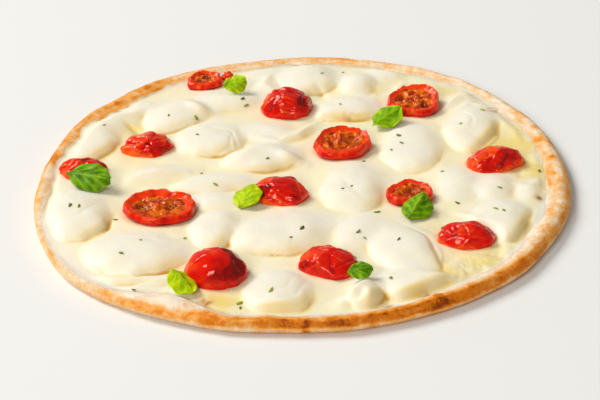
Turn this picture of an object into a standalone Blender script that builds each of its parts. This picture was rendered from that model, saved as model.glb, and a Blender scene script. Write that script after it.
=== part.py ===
"""A thin-crust margherita pizza, as baked: a dough base with a raised rim, a sheet of melted cheese,
mounds of mozzarella, roasted cherry tomato halves, basil leaves and flakes of dried herb.

Metres, +Z up. The origin is under the middle of the base, and the front of the pizza is at -Y.
"""

import math
from collections import namedtuple

import bmesh
import bpy
from mathutils import Euler, Matrix, Vector, noise
from mathutils.bvhtree import BVHTree

# The base and its rim
EDGE_RADIUS = 0.1499  # mean radius of the outer edge: a pizza of 30 cm
RIM_WIDTH = 0.011  # mean width of the bare rim, from the edge to the cheese
RIM_HEIGHT = 0.009  # mean height of the rim's crest
BED_HEIGHT = 0.0042  # top of the dough under the cheese
EDGE_WAVES = (  # how the hand-pressed edge leaves the circle: waves round the edge, size, place of a peak
    (2, 0.0004, -74),
    (3, 0.0014, -19),
    (4, 0.0015, 42),
    (5, 0.0005, -7),
    (11, 0.0003, 20),
    (17, 0.0002, 65),
)
RIM_WIDTHS = (  # bare rim every 15 degrees, counted from +X towards +Y
    0.0140, 0.0140, 0.0130, 0.0105, 0.0100, 0.0100,
    0.0110, 0.0120, 0.0130, 0.0155, 0.0120, 0.0105,
    0.0100, 0.0055, 0.0045, 0.0060, 0.0180, 0.0085,
    0.0085, 0.0085, 0.0110, 0.0120, 0.0140, 0.0155,
)
CREST_WAVES = (  # how the crest's height changes round the rim, as a share of it
    (2, 0.06, 200),
    (5, 0.05, 75),
    (9, 0.04, 10),
)
KNOB = 0.0005  # how far the crest is lumpy
KNOBS = 55  # lumps of the crest in a metre
EDGE_LUMP = 0.0007  # how far the outer side is lumpy
EDGE_LUMPS = 48
BROAD_RIM = (0.003, 0.009)  # the crest stands lower where the bare rim is narrower than this
ROUND_STEPS = 84  # sides of the base and of the cheese sheet
SHARP_ANGLE = math.radians(50)  # edges that bend more than this look sharp

# The cheese
SHEET_TOP = 0.0070  # highest level of the melted sheet
SHEET_HOLLOW = 0.0005  # how deep the sheet's hollows go
SHEET_HOLLOWS = 38  # hollows in a metre
SHEET_RINGS = 10
SHEET_EDGE = 0.0004  # how far the sheet's top edge stays from the rim
SHEET_FOOT = 0.0017  # how far its foot stays from it
GAP = 0.0003  # between one piece and what it touches
SIDE_GAP = 0.0008  # between two neighbours whose sides have few faces

# Mozzarella mounds: x, y, half length, half width, turn in degrees, height
Mound = namedtuple("Mound", "x y half_length half_width turn height")
MOUNDS = (
    Mound(-0.0100, -0.0570, 0.0270, 0.0200, 12, 0.0062),
    Mound(-0.0890, -0.0730, 0.0260, 0.0200, -5, 0.0062),
    Mound(-0.1235, -0.0290, 0.0270, 0.0160, 100, 0.0060),
    Mound(0.0540, -0.0780, 0.0260, 0.0160, 113, 0.0056),
    Mound(0.0290, -0.0130, 0.0250, 0.0160, 88, 0.0052),
    Mound(0.1080, -0.0530, 0.0200, 0.0160, 80, 0.0060),
    Mound(-0.0500, 0.0500, 0.0190, 0.0180, 0, 0.0056),
    Mound(-0.0210, 0.0250, 0.0220, 0.0125, 8, 0.0056),
    Mound(-0.1170, 0.0580, 0.0290, 0.0140, 72, 0.0056),
    Mound(-0.0700, 0.0800, 0.0210, 0.0150, 40, 0.0056),
    Mound(0.0640, 0.0320, 0.0270, 0.0160, 88, 0.0048),
    Mound(0.0990, 0.0520, 0.0250, 0.0150, 80, 0.0056),
    Mound(-0.0130, -0.1170, 0.0190, 0.0170, 100, 0.0062),
    Mound(0.0560, -0.1140, 0.0170, 0.0140, 0, 0.0062),
    Mound(0.0325, -0.1215, 0.0150, 0.0095, 80, 0.0062),
    Mound(-0.0470, -0.0510, 0.0190, 0.0130, 80, 0.0056),
    Mound(0.0070, 0.1200, 0.0190, 0.0170, 90, 0.0056),
    Mound(0.0300, 0.0800, 0.0190, 0.0120, 8, 0.0050),
    Mound(0.0360, 0.1100, 0.0150, 0.0110, 90, 0.0046),
    Mound(-0.0420, 0.0960, 0.0170, 0.0120, -10, 0.0046),
    Mound(0.1060, -0.0180, 0.0130, 0.0110, 90, 0.0046),
    Mound(0.0860, -0.0130, 0.0190, 0.0120, 95, 0.0042),
    Mound(-0.0490, -0.0020, 0.0220, 0.0090, 8, 0.0042),
    Mound(0.0300, -0.0600, 0.0160, 0.0110, 70, 0.0038),
    Mound(-0.0480, -0.0210, 0.0140, 0.0090, 0, 0.0036),
    Mound(-0.0920, 0.0880, 0.0110, 0.0080, 20, 0.0036),
    Mound(-0.0180, 0.1180, 0.0150, 0.0110, 90, 0.0028),
    Mound(0.0530, 0.1230, 0.0100, 0.0090, 0, 0.0030),
    Mound(0.0970, 0.0870, 0.0130, 0.0070, 30, 0.0030),
    Mound(-0.0170, 0.0550, 0.0140, 0.0090, -10, 0.0028),
    Mound(-0.0800, 0.0110, 0.0170, 0.0070, 10, 0.0026),
    Mound(-0.0880, -0.0990, 0.0200, 0.0055, -3, 0.0026),
    Mound(0.1250, -0.0210, 0.0110, 0.0065, 90, 0.0028),
)
SPREAD = 1.05  # how far a mound melts outwards past the size stated
SWELLING = 0.16  # how far a mound's top rises and falls, as a share of its height
SWELLINGS = 70  # swellings in a metre
DOME_FLATNESS = (2.4, 0.72)  # powers that give a mound its flat top and steep side
LARGE_MOUND = 0.0040  # mounds at least this high have more faces
LARGE_FACES = (18, 4)  # sides and levels of a large mound
SMALL_FACES = (14, 3)
REACH_STEP = 0.00025  # how finely a mound's outline is worked out

# Tomato halves: x, y, width, depth, height, turn in degrees, and whether the cut side is up
Tomato = namedtuple("Tomato", "x y width depth height turn cut_side_up")
TOMATOES = (
    Tomato(-0.0543, 0.1185, 0.0215, 0.0175, 0.0062, 6, True),
    Tomato(-0.0060, 0.0835, 0.0300, 0.0260, 0.0125, -8, False),
    Tomato(0.0677, 0.0805, 0.0310, 0.0280, 0.0085, -8, True),
    Tomato(-0.0860, 0.0425, 0.0300, 0.0240, 0.0085, 4, False),
    Tomato(0.0248, 0.0320, 0.0330, 0.0270, 0.0090, 3, True),
    Tomato(0.1092, 0.0100, 0.0330, 0.0240, 0.0100, 8, False),
    Tomato(-0.1215, 0.0160, 0.0270, 0.0220, 0.0085, -10, False),
    Tomato(-0.0775, -0.0310, 0.0400, 0.0320, 0.0080, -4, True),
    Tomato(-0.0112, -0.0170, 0.0315, 0.0240, 0.0103, -12, False),
    Tomato(0.0598, -0.0260, 0.0260, 0.0190, 0.0075, 5, True),
    Tomato(-0.0458, -0.0982, 0.0330, 0.0275, 0.0148, -10, False),
    Tomato(0.0134, -0.0940, 0.0325, 0.0240, 0.0112, -14, False),
    Tomato(0.0870, -0.0700, 0.0320, 0.0220, 0.0092, -6, False),
    Tomato(-0.0412, 0.1255, 0.0080, 0.0052, 0.0045, 12, False),
)
TOMATO_SIDES = 20
DOME_LEVELS = 5
WRINKLE = 0.07  # how far the roasted skin shrinks in along its creases, as a share of its radius
CREASES = 2.2  # creases across one radius
CREASE_SHARPNESS = 2.6
RIM_DENT = 0.10  # how far the rim round a cut side bends in, as a share of its radius
RIM_DENTS = 1.9
RIM_LUMP = 0.10  # how far the rim round a cut side rises and falls, as a share of the height
RIM_LUMPS = 4.0
CUT_LEAN = 0.40  # how much lower the front of a cut face lies than its back, as a share of the height
CUT_PROFILE = (  # a half with its cut side up, middle to foot: share of the radius, share of the height
    (0.00, 0.66),
    (0.34, 0.76),
    (0.62, 0.64),
    (0.76, 0.90),
    (0.88, 1.00),
    (0.98, 0.82),
    (1.00, 0.45),
    (0.86, 0.00),
)

# Basil leaves: x, y, length, width, heading, pitch and roll in degrees, fold along the midrib, curl
Leaf = namedtuple("Leaf", "x y length width heading pitch roll fold curl")
LEAVES = (
    Leaf(-0.0365, 0.1035, 0.0140, 0.0125, 12, 8, 18, 16, 30),
    Leaf(0.0510, 0.0585, 0.0210, 0.0180, 35, 14, 14, 24, 50),
    Leaf(-0.1175, -0.0025, 0.0270, 0.0175, -24, 2, 28, 10, 26),
    Leaf(-0.0300, -0.0250, 0.0185, 0.0170, 60, 20, -8, 14, 40),
    Leaf(0.0620, -0.0440, 0.0200, 0.0195, 60, 18, 4, 30, 30),
    Leaf(-0.0625, -0.1110, 0.0200, 0.0160, -52, -20, -14, 22, 46),
    Leaf(0.0290, -0.1125, 0.0140, 0.0110, 4, 6, 24, 20, 60),
)
LEAF_THICKNESS = 0.0006
LEAF_CLEARANCE = 0.0008  # from the middle of a leaf's thickness down to what it rests on
LEAF_STEPS = (7, 5)  # along and across
LEAF_WIDEST = 0.08  # where a leaf is widest, from -1 at the stalk to 1 at the tip
LEAF_ROUNDNESS = (2.3, 0.75)  # powers that give the leaf its round sides and pointed tip
LEAF_WAVE = 0.0004  # how far the leaf's margin waves up and down
LEAF_WAVES = 9.0

# Herb flakes: x, y, length, turn in degrees
Flake = namedtuple("Flake", "x y length turn")
FLAKES = (
    Flake(-0.032, 0.093, 0.0038, 50),
    Flake(-0.030, 0.087, 0.0034, 35),
    Flake(-0.059, 0.072, 0.0036, -65),
    Flake(-0.075, 0.073, 0.0022, 75),
    Flake(-0.058, 0.049, 0.0022, -35),
    Flake(-0.112, 0.064, 0.0022, 35),
    Flake(0.015, 0.120, 0.0024, 0),
    Flake(0.028, 0.126, 0.0018, 0),
    Flake(0.025, 0.080, 0.0020, 35),
    Flake(-0.018, 0.019, 0.0028, 50),
    Flake(0.057, 0.041, 0.0032, -50),
    Flake(0.058, 0.032, 0.0030, -45),
    Flake(0.052, 0.025, 0.0028, 60),
    Flake(0.093, 0.051, 0.0024, 50),
    Flake(0.107, 0.069, 0.0030, -30),
    Flake(0.133, 0.000, 0.0024, 85),
    Flake(0.036, 0.017, 0.0026, 20),
    Flake(-0.055, 0.010, 0.0020, 0),
    Flake(-0.047, -0.007, 0.0032, -45),
    Flake(0.079, 0.000, 0.0020, 20),
    Flake(0.028, -0.016, 0.0022, 50),
    Flake(0.023, -0.019, 0.0018, 20),
    Flake(-0.126, -0.028, 0.0036, 75),
    Flake(-0.121, -0.029, 0.0032, 80),
    Flake(-0.101, -0.037, 0.0030, 10),
    Flake(-0.086, -0.067, 0.0022, -20),
    Flake(-0.096, -0.080, 0.0032, -35),
    Flake(-0.063, -0.061, 0.0020, 20),
    Flake(-0.088, -0.112, 0.0032, -50),
    Flake(-0.033, -0.126, 0.0044, 30),
    Flake(-0.033, -0.131, 0.0024, 75),
    Flake(-0.017, -0.122, 0.0040, 65),
    Flake(0.000, -0.061, 0.0036, 65),
    Flake(-0.006, -0.069, 0.0022, 35),
    Flake(0.041, -0.040, 0.0038, 20),
    Flake(0.030, -0.064, 0.0032, 50),
    Flake(0.033, -0.069, 0.0022, -60),
    Flake(0.051, -0.075, 0.0028, 50),
    Flake(0.085, -0.033, 0.0030, -35),
    Flake(0.109, -0.022, 0.0034, -10),
    Flake(0.105, -0.046, 0.0030, -35),
    Flake(0.109, -0.049, 0.0026, -50),
    Flake(0.045, -0.113, 0.0036, 75),
)
FLAKE_WIDTH = 0.55  # as a share of the length
FLAKE_TIP = 0.45  # width at the narrow end, as a share of the width at the other
FLAKE_THICKNESS = 0.0010


def clear_scene():
    for obj in list(bpy.data.objects):
        bpy.data.objects.remove(obj)


def material(name, colour, roughness):
    made = bpy.data.materials.new(name)
    made.use_nodes = True
    shader = made.node_tree.nodes["Principled BSDF"]
    shader.inputs["Base Color"].default_value = (*colour, 1.0)
    shader.inputs["Roughness"].default_value = roughness
    shader.inputs["Metallic"].default_value = 0.0
    return made


def smooth_step(low, high, value):
    share = min(1.0, max(0.0, (value - low) / (high - low)))
    return share * share * (3.0 - 2.0 * share)


def waves(angle, table):
    """Sum of the waves round the pizza at one angle."""
    return sum(size * math.cos(count * (angle - math.radians(peak))) for count, size, peak in table)


def bare_rim(angle):
    """Width of the bare rim at one angle, read smoothly between the stated widths."""
    place = (angle % math.tau) / math.tau * len(RIM_WIDTHS)
    before = int(place)
    share = smooth_step(0.0, 1.0, place - before)
    low = RIM_WIDTHS[before % len(RIM_WIDTHS)]
    high = RIM_WIDTHS[(before + 1) % len(RIM_WIDTHS)]
    return low + (high - low) * share


def edge_radius(angle):
    return EDGE_RADIUS + waves(angle, EDGE_WAVES)


def cheese_radius(angle):
    return edge_radius(angle) - bare_rim(angle)


class Footprint:
    """The outline of a topping, seen from above, as a reach from its centre in each direction."""

    DIRECTIONS = 72

    def __init__(self, x, y, reach_of):
        self.x, self.y = x, y
        self.reaches = [reach_of(i * math.tau / self.DIRECTIONS) for i in range(self.DIRECTIONS)]

    def reach(self, angle):
        place = (angle % math.tau) / math.tau * self.DIRECTIONS
        before = int(place)
        share = place - before
        low = self.reaches[before % self.DIRECTIONS]
        high = self.reaches[(before + 1) % self.DIRECTIONS]
        return low + (high - low) * share

    def share(self, x, y):
        """0 at the centre, 1 on the outline, more outside."""
        dx, dy = x - self.x, y - self.y
        return math.hypot(dx, dy) / self.reach(math.atan2(dy, dx))

    def holds(self, x, y, margin):
        dx, dy = x - self.x, y - self.y
        return math.hypot(dx, dy) < self.reach(math.atan2(dy, dx)) + margin


def ellipse_reach(angle, half_length, half_width, turn):
    a = angle - math.radians(turn)
    return half_length * half_width / math.hypot(half_width * math.cos(a), half_length * math.sin(a))


def tomato_footprint(tomato):
    return Footprint(
        tomato.x,
        tomato.y,
        lambda angle: ellipse_reach(angle, tomato.width / 2, tomato.depth / 2, tomato.turn),
    )


def mound_footprint(mound, others):
    """The mound's ellipse, kept clear of the rim and of the toppings that it melts against."""
    def clear(x, y):
        if math.hypot(x, y) > cheese_radius(math.atan2(y, x)) - SIDE_GAP:
            return False
        return not any(other.holds(x, y, SIDE_GAP) for other in others)

    def reach(angle):
        longest = SPREAD * ellipse_reach(angle, mound.half_length, mound.half_width, mound.turn)
        at = 2 * REACH_STEP
        while at < longest and clear(mound.x + at * math.cos(angle), mound.y + at * math.sin(angle)):
            at += REACH_STEP
        return min(at, longest)

    return Footprint(mound.x, mound.y, reach)


def mound_height(mound, footprint, x, y):
    """Height of the mound above its foot: a full dome with a steep side and low swellings."""
    share = min(1.0, footprint.share(x, y))
    swelling = 1.0 + SWELLING * noise.noise(Vector((x, y, mound.x)) * SWELLINGS)
    flat_top, steep_side = DOME_FLATNESS
    return mound.height * swelling * (1.0 - share**flat_top) ** steep_side


def new_object(name, mesh, parts, finish):
    obj = bpy.data.objects.new(name, mesh)
    obj.data.materials.append(finish)
    parts.objects.link(obj)
    return obj


def mesh_of(bm, name):
    mesh = bpy.data.meshes.new(name)
    bmesh.ops.recalc_face_normals(bm, faces=bm.faces)
    bm.to_mesh(mesh)
    bm.free()
    mesh.shade_smooth()
    mesh.set_sharp_from_angle(angle=SHARP_ANGLE)
    return mesh


def turned(name, profile, parts, finish):
    """A profile of (radius, height) turned about Z, with the modifier applied."""
    bm = bmesh.new()
    points = [bm.verts.new((radius, 0.0, height)) for radius, height in profile]
    for a, b in zip(points, points[1:]):
        bm.edges.new((a, b))
    outline = bpy.data.meshes.new(name)
    bm.to_mesh(outline)
    bm.free()
    obj = new_object(name, outline, parts, finish)
    screw = obj.modifiers.new("Turn", "SCREW")
    screw.steps = screw.render_steps = ROUND_STEPS
    screw.use_merge_vertices = True
    screw.merge_threshold = 0.00005
    screw.use_normal_calculate = True
    apply_modifiers(obj)
    return obj


def apply_modifiers(obj):
    """The object's evaluated mesh becomes its own."""
    bpy.context.view_layer.update()
    evaluated = obj.evaluated_get(bpy.context.evaluated_depsgraph_get())
    mesh = bpy.data.meshes.new_from_object(evaluated)
    old = obj.data
    obj.modifiers.clear()
    obj.data = mesh
    bpy.data.meshes.remove(old)


def press_by_hand(radius, angle):
    """Where a point of the round profile lies once the edge and the rim have their uneven widths."""
    bed = EDGE_RADIUS - RIM_WIDTH
    if radius <= bed:
        return radius * cheese_radius(angle) / bed
    return cheese_radius(angle) + (radius - bed) / RIM_WIDTH * bare_rim(angle)


def build_crust(parts, finish):
    """The base: a flat dish of dough whose rim swells up round the cheese."""
    edge, bed = EDGE_RADIUS, EDGE_RADIUS - RIM_WIDTH
    profile = (
        (0.0, BED_HEIGHT),
        (bed - 0.0010, BED_HEIGHT),
        (bed + 0.0006, SHEET_TOP),
        (bed + 0.0032, 0.0082),
        (edge - 0.0044, RIM_HEIGHT),
        (edge - 0.0020, 0.0080),
        (edge - 0.0004, 0.0058),
        (edge, 0.0038),
        (edge - 0.0014, 0.0013),
        (edge - 0.0045, 0.0),
        (0.0, 0.0),
    )
    crust = turned("crust", profile, parts, finish)
    for vertex in crust.data.vertices:
        x, y, z = vertex.co
        radius, angle = math.hypot(x, y), math.atan2(y, x)
        if radius < 1e-6:
            continue
        pressed = press_by_hand(radius, angle)
        if z > SHEET_TOP + 0.0005:
            broad = smooth_step(*BROAD_RIM, bare_rim(angle))
            rise = (0.80 + 0.20 * broad) * (1.0 + waves(angle, CREST_WAVES))
            knob = KNOB * noise.noise(Vector((x, y, 0.0)) * KNOBS)
            z = SHEET_TOP + (z - SHEET_TOP) * rise + knob
        if radius > bed + 0.002 and z > 0.002:
            pressed += EDGE_LUMP * noise.noise(Vector((x, y, 2 * z)) * EDGE_LUMPS)
        vertex.co = (pressed * math.cos(angle), pressed * math.sin(angle), z)
    smooth_shading(crust)
    return crust


def smooth_shading(obj):
    obj.data.shade_smooth()
    obj.data.set_sharp_from_angle(angle=SHARP_ANGLE)


def build_sheet(parts, finish):
    """The melted cheese that fills the dish, with shallow hollows between its mounds."""
    bed = EDGE_RADIUS - RIM_WIDTH
    top_edge = bed - SHEET_EDGE
    underside = BED_HEIGHT + GAP
    rings = [(top_edge * ring / SHEET_RINGS, SHEET_TOP) for ring in range(SHEET_RINGS + 1)]
    profile = (*rings, (bed - SHEET_FOOT, underside), (0.0, underside))
    sheet = turned("cheese_sheet", profile, parts, finish)
    for vertex in sheet.data.vertices:
        x, y, z = vertex.co
        radius, angle = math.hypot(x, y), math.atan2(y, x)
        pressed = press_by_hand(radius, angle)
        if z > SHEET_TOP - 1e-6:
            hollow = abs(noise.noise(Vector((x, y, 0.2)) * SHEET_HOLLOWS))
            z -= SHEET_HOLLOW * min(1.0, 1.6 * hollow)
        vertex.co = (pressed * math.cos(angle), pressed * math.sin(angle), z)
    smooth_shading(sheet)
    return sheet


def half_ball(sides, levels):
    """The upper half of a UV sphere of radius 1, closed underneath by one flat face."""
    bm = bmesh.new()
    bmesh.ops.create_uvsphere(bm, u_segments=sides, v_segments=2 * levels, radius=1.0)
    below = [v for v in bm.verts if v.co.z < -1e-4]
    bmesh.ops.delete(bm, geom=below, context="VERTS")
    rim = [e for e in bm.edges if e.is_boundary]
    bmesh.ops.contextual_create(bm, geom=rim)
    return bm


def build_mound(index, mound, footprint, parts, finish):
    bm = half_ball(*(LARGE_FACES if mound.height >= LARGE_MOUND else SMALL_FACES))
    foot = SHEET_TOP + GAP
    for vertex in bm.verts:
        share = math.hypot(vertex.co.x, vertex.co.y)
        angle = math.atan2(vertex.co.y, vertex.co.x) if share > 1e-6 else 0.0
        reach = footprint.reach(angle) * share
        x = mound.x + reach * math.cos(angle)
        y = mound.y + reach * math.sin(angle)
        on_foot = vertex.co.z < 1e-4
        vertex.co = (x, y, foot + (0.0 if on_foot else mound_height(mound, footprint, x, y)))
    name = f"mozzarella_{index:02d}"
    return new_object(name, mesh_of(bm, name), parts, finish)


def ripple(direction, count, seed):
    """Smooth noise between -1 and 1 over the directions from a half's middle."""
    return noise.noise(Vector((direction.x * count, direction.y * count, seed)))


def crease(direction, seed):
    """Creases of a roasted skin: 0 on the folds' crests, up to 1 in the grooves between them."""
    fold = noise.noise(direction * CREASES + Vector((seed, 0.0, 0.0)))
    return (1.0 - min(1.0, abs(fold) * CREASE_SHARPNESS)) ** 2


def build_tomato(index, tomato, parts, finish):
    """A roasted half: a creased dome, or a cup of flesh round sunken pulp where the cut side is up."""
    levels = len(CUT_PROFILE) - 1 if tomato.cut_side_up else DOME_LEVELS
    bm = half_ball(TOMATO_SIDES, levels)
    foot = SHEET_TOP + GAP
    turn = math.radians(tomato.turn)
    for vertex in bm.verts:
        direction = vertex.co.copy()
        share = math.hypot(direction.x, direction.y)
        height = direction.z
        if tomato.cut_side_up:
            level = round((1.0 - math.asin(min(1.0, height)) / (math.pi / 2)) * levels)
            share_out, height = CUT_PROFILE[level]
            scale = share_out / share if share > 1e-6 else 0.0
            scale *= 1.0 + min(0.0, RIM_DENT * ripple(direction, RIM_DENTS, index))
            height *= 1.0 + RIM_LUMP * ripple(direction, RIM_LUMPS, index + 0.5)
            height *= 1.0 - CUT_LEAN * smooth_step(1.0, -1.0, direction.y)
        else:
            dent = WRINKLE * crease(direction, index * 3.7)
            scale = 1.0 - dent
            height *= 1.0 - dent
        across = direction.x * scale * tomato.width / 2
        back = direction.y * scale * tomato.depth / 2
        vertex.co = (
            tomato.x + across * math.cos(turn) - back * math.sin(turn),
            tomato.y + across * math.sin(turn) + back * math.cos(turn),
            foot + max(0.0, height) * tomato.height,
        )
    name = f"tomato_{index:02d}"
    return new_object(name, mesh_of(bm, name), parts, finish)


def leaf_point(leaf, along, across):
    """A point of the leaf before it is turned: along runs from -1 at the stalk to 1 at the tip."""
    round_side, pointed_tip = LEAF_ROUNDNESS
    narrowing = max(0.05, 1.0 - abs(along - LEAF_WIDEST) ** round_side) ** pointed_tip
    side = across * narrowing * leaf.width / 2
    fold = math.radians(leaf.fold)
    curl = math.radians(leaf.curl)
    bend = curl / leaf.length
    angle = along * leaf.length / 2 * bend
    x = math.sin(angle) / bend
    z = -(1.0 - math.cos(angle)) / bend
    wave = LEAF_WAVE * math.sin(along * LEAF_WAVES) * abs(across)
    return Vector((x, side * math.cos(fold), z - abs(side) * math.sin(fold) + wave))


def let_down(bm, pieces):
    """How far the leaf can sink before it would touch a piece that lies under it."""
    down, up = Vector((0.0, 0.0, -1.0)), Vector((0.0, 0.0, 1.0))
    leaf_faces = BVHTree.FromBMesh(bm)
    gaps = []
    for piece in pieces:
        points = [v.co for v in piece.data.vertices]
        faces = BVHTree.FromPolygons(points, [p.vertices for p in piece.data.polygons])
        for vertex in bm.verts:
            below = faces.ray_cast(Vector((vertex.co.x, vertex.co.y, 1.0)), down)[0]
            if below:
                gaps.append(vertex.co.z - below.z)
        for point in points:
            above = leaf_faces.ray_cast(Vector((point.x, point.y, -1.0)), up)[0]
            if above:
                gaps.append(above.z - point.z)
    return min(gaps)


def build_leaf(index, leaf, pieces, parts, finish):
    """A thin wavy leaf, let down until it touches what lies under it."""
    bm = bmesh.new()
    bmesh.ops.create_grid(bm, x_segments=LEAF_STEPS[0], y_segments=LEAF_STEPS[1], size=1.0)
    turn = Euler([math.radians(a) for a in (leaf.roll, -leaf.pitch, leaf.heading)], "XYZ").to_matrix()
    for vertex in bm.verts:
        vertex.co = turn @ leaf_point(leaf, vertex.co.x, vertex.co.y)
        vertex.co += Vector((leaf.x, leaf.y, 0.0))
    bmesh.ops.triangulate(bm, faces=bm.faces)
    drop = let_down(bm, pieces) - LEAF_CLEARANCE
    for vertex in bm.verts:
        vertex.co.z -= drop
    name = f"basil_{index:02d}"
    obj = new_object(name, mesh_of(bm, name), parts, finish)
    solidify = obj.modifiers.new("Thickness", "SOLIDIFY")
    solidify.thickness = LEAF_THICKNESS
    solidify.offset = 0.0
    return obj


def build_flake(flake, host, cutters, finish):
    """A chip of herb, half sunk in the face of its host that lies under it."""
    found, place, normal, _ = host.ray_cast(Vector((flake.x, flake.y, 1.0)), Vector((0.0, 0.0, -1.0)))
    if not found:
        return None
    bm = bmesh.new()
    bmesh.ops.create_cube(bm, size=1.0)
    tilt = Vector((0.0, 0.0, 1.0)).rotation_difference(normal).to_matrix()
    spin = Matrix.Rotation(math.radians(flake.turn), 3, "Z")
    for vertex in bm.verts:
        width = flake.length * FLAKE_WIDTH * (FLAKE_TIP if vertex.co.x > 0 else 1.0)
        chip_point = Vector((vertex.co.x * flake.length, vertex.co.y * width, vertex.co.z * FLAKE_THICKNESS))
        vertex.co = place + tilt @ spin @ chip_point
    mesh = bpy.data.meshes.new("flake")
    bm.to_mesh(mesh)
    bm.free()
    mesh.materials.append(finish)
    chip = bpy.data.objects.new("flake", mesh)
    chip.hide_render = True
    cutters.objects.link(chip)
    return chip


def fuse_flakes(host, flakes, cutters, finish):
    """Joins the flakes that lie on this piece to it."""
    chips = [chip for chip in (build_flake(flake, host, cutters, finish) for flake in flakes) if chip]
    if not chips:
        return
    union = host.modifiers.new("Flakes", "BOOLEAN")
    union.operation = "UNION"
    union.operand_type = "COLLECTION"
    union.collection = cutters
    union.solver = "EXACT"
    apply_modifiers(host)
    for chip in chips:
        bpy.data.objects.remove(chip)


def host_of(flake, mounds, footprints, sheet):
    """The piece of cheese that the flake fell on."""
    for mound, footprint in zip(mounds, footprints):
        if footprint.share(flake.x, flake.y) < 1.0:
            return mound
    return sheet


def main():
    clear_scene()
    parts = bpy.data.collections.new("margherita_pizza")
    cutters = bpy.data.collections.new("flakes_to_fuse")
    for collection in (parts, cutters):
        bpy.context.scene.collection.children.link(collection)

    dough = material("baked_dough", (0.80, 0.50, 0.24), 0.75)
    cheese = material("melted_cheese", (0.86, 0.78, 0.50), 0.40)
    mozzarella = material("mozzarella", (0.92, 0.88, 0.72), 0.40)
    tomato_skin = material("tomato", (0.72, 0.05, 0.02), 0.25)
    basil = material("basil", (0.16, 0.42, 0.03), 0.45)
    herb = material("dried_herb", (0.10, 0.14, 0.02), 0.80)

    tomato_prints = [tomato_footprint(tomato) for tomato in TOMATOES]
    mound_prints = []
    for mound in MOUNDS:
        mound_prints.append(mound_footprint(mound, tomato_prints + mound_prints))

    build_crust(parts, dough)
    sheet = build_sheet(parts, cheese)
    mounds = [
        build_mound(index, mound, footprint, parts, mozzarella)
        for index, (mound, footprint) in enumerate(zip(MOUNDS, mound_prints), 1)
    ]
    for index, tomato in enumerate(TOMATOES, 1):
        build_tomato(index, tomato, parts, tomato_skin)
    bpy.context.view_layer.update()
    hosts = [host_of(flake, mounds, mound_prints, sheet) for flake in FLAKES]
    for host in (*mounds, sheet):
        fuse_flakes(host, [flake for flake, under in zip(FLAKES, hosts) if under == host], cutters, herb)
    pieces = list(parts.objects)
    for index, leaf in enumerate(LEAVES, 1):
        pieces.append(build_leaf(index, leaf, pieces, parts, basil))
    bpy.data.collections.remove(cutters)


main()
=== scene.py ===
import itertools
from collections import namedtuple
from math import cos, hypot, pi, radians, sin, sqrt, tau

import bmesh
import bpy
import numpy as np
from mathutils import Euler, Matrix, Vector


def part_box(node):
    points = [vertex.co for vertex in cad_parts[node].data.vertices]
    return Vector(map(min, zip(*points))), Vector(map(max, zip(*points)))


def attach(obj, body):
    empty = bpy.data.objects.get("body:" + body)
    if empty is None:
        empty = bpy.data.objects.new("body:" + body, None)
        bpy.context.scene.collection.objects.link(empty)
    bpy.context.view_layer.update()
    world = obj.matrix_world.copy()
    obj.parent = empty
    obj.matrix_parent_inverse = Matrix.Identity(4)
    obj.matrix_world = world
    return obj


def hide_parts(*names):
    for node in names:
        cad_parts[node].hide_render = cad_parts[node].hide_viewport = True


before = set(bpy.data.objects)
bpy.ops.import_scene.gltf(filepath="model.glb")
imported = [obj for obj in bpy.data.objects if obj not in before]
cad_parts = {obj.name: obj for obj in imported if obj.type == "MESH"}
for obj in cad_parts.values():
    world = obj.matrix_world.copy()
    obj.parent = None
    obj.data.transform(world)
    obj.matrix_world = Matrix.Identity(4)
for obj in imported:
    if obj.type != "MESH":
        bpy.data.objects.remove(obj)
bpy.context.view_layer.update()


def table(lengths, others, rows):
    """Rows with named fields: first lengths, in millimetres here and in metres in use, then other values."""
    names = lengths.split()
    Row = namedtuple("Row", names + others.split())
    return [Row(*(value / 1000 for value in row[:len(names)]), *row[len(names):]) for row in rows]


def shares(names, rows):
    """Rows with named fields that are all shares: in hundredths here, of 1 in use."""
    Row = namedtuple("Row", names)
    return [Row(*(value / 100 for value in row)) for row in rows]


# The base and its rim, in metres, with tables in millimetres and degrees from +X towards +Y
EDGE_RADIUS = 0.1499
RIM_WIDTH = 0.011
RIM_HEIGHT = 0.009
BED_HEIGHT = 0.0042
# Ripples of the outline: how high, how many go round, and where one has its peak
EDGE_RIPPLES = table("size", "count peak", (
    (0.4, 2, -74), (1.4, 3, -19), (1.5, 4, 42), (0.5, 5, -7), (0.3, 11, 20), (0.2, 17, 65),
))
CREST_RIPPLES = ((0.06, 2, 200), (0.05, 5, 75), (0.04, 9, 10))  # sizes here as shares of the height
# How wide the bare rim is, every 15 degrees
RIM_WIDTHS = [width / 1000 for width in (
    14, 14, 13, 10.5, 10, 10, 11, 12, 13, 15.5, 12, 10.5,
    10, 5.5, 4.5, 6, 18, 8.5, 8.5, 8.5, 11, 12, 14, 15.5,
)]
# How far in from the edge the rim is browned, and how brown it is, every 15 degrees
# painted light: the paler brown near 15 and 30 degrees also stands for floor light on that shaded outer side
BAKED = table("reach", "brown", (
    (14, 0.5), (14.5, 0.44), (13, 0.42), (11, 0.46), (10.5, 0.56), (11.5, 0.68), (12.2, 0.74),
    (12.8, 0.8), (14.2, 0.9), (16, 0.92), (12, 0.88), (12.6, 0.84), (7.6, 0.48), (3, 0.36), (2.4, 0.32),
    (2.8, 0.4), (4.6, 0.64), (6, 0.84), (6.4, 0.92), (6.4, 0.98), (6.2, 0.98), (5.8, 0.92), (7.2, 0.84),
    (11.5, 0.6),
))
BAND_SOFTNESS = 0.0022  # the distance over which the browning fades inwards
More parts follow.
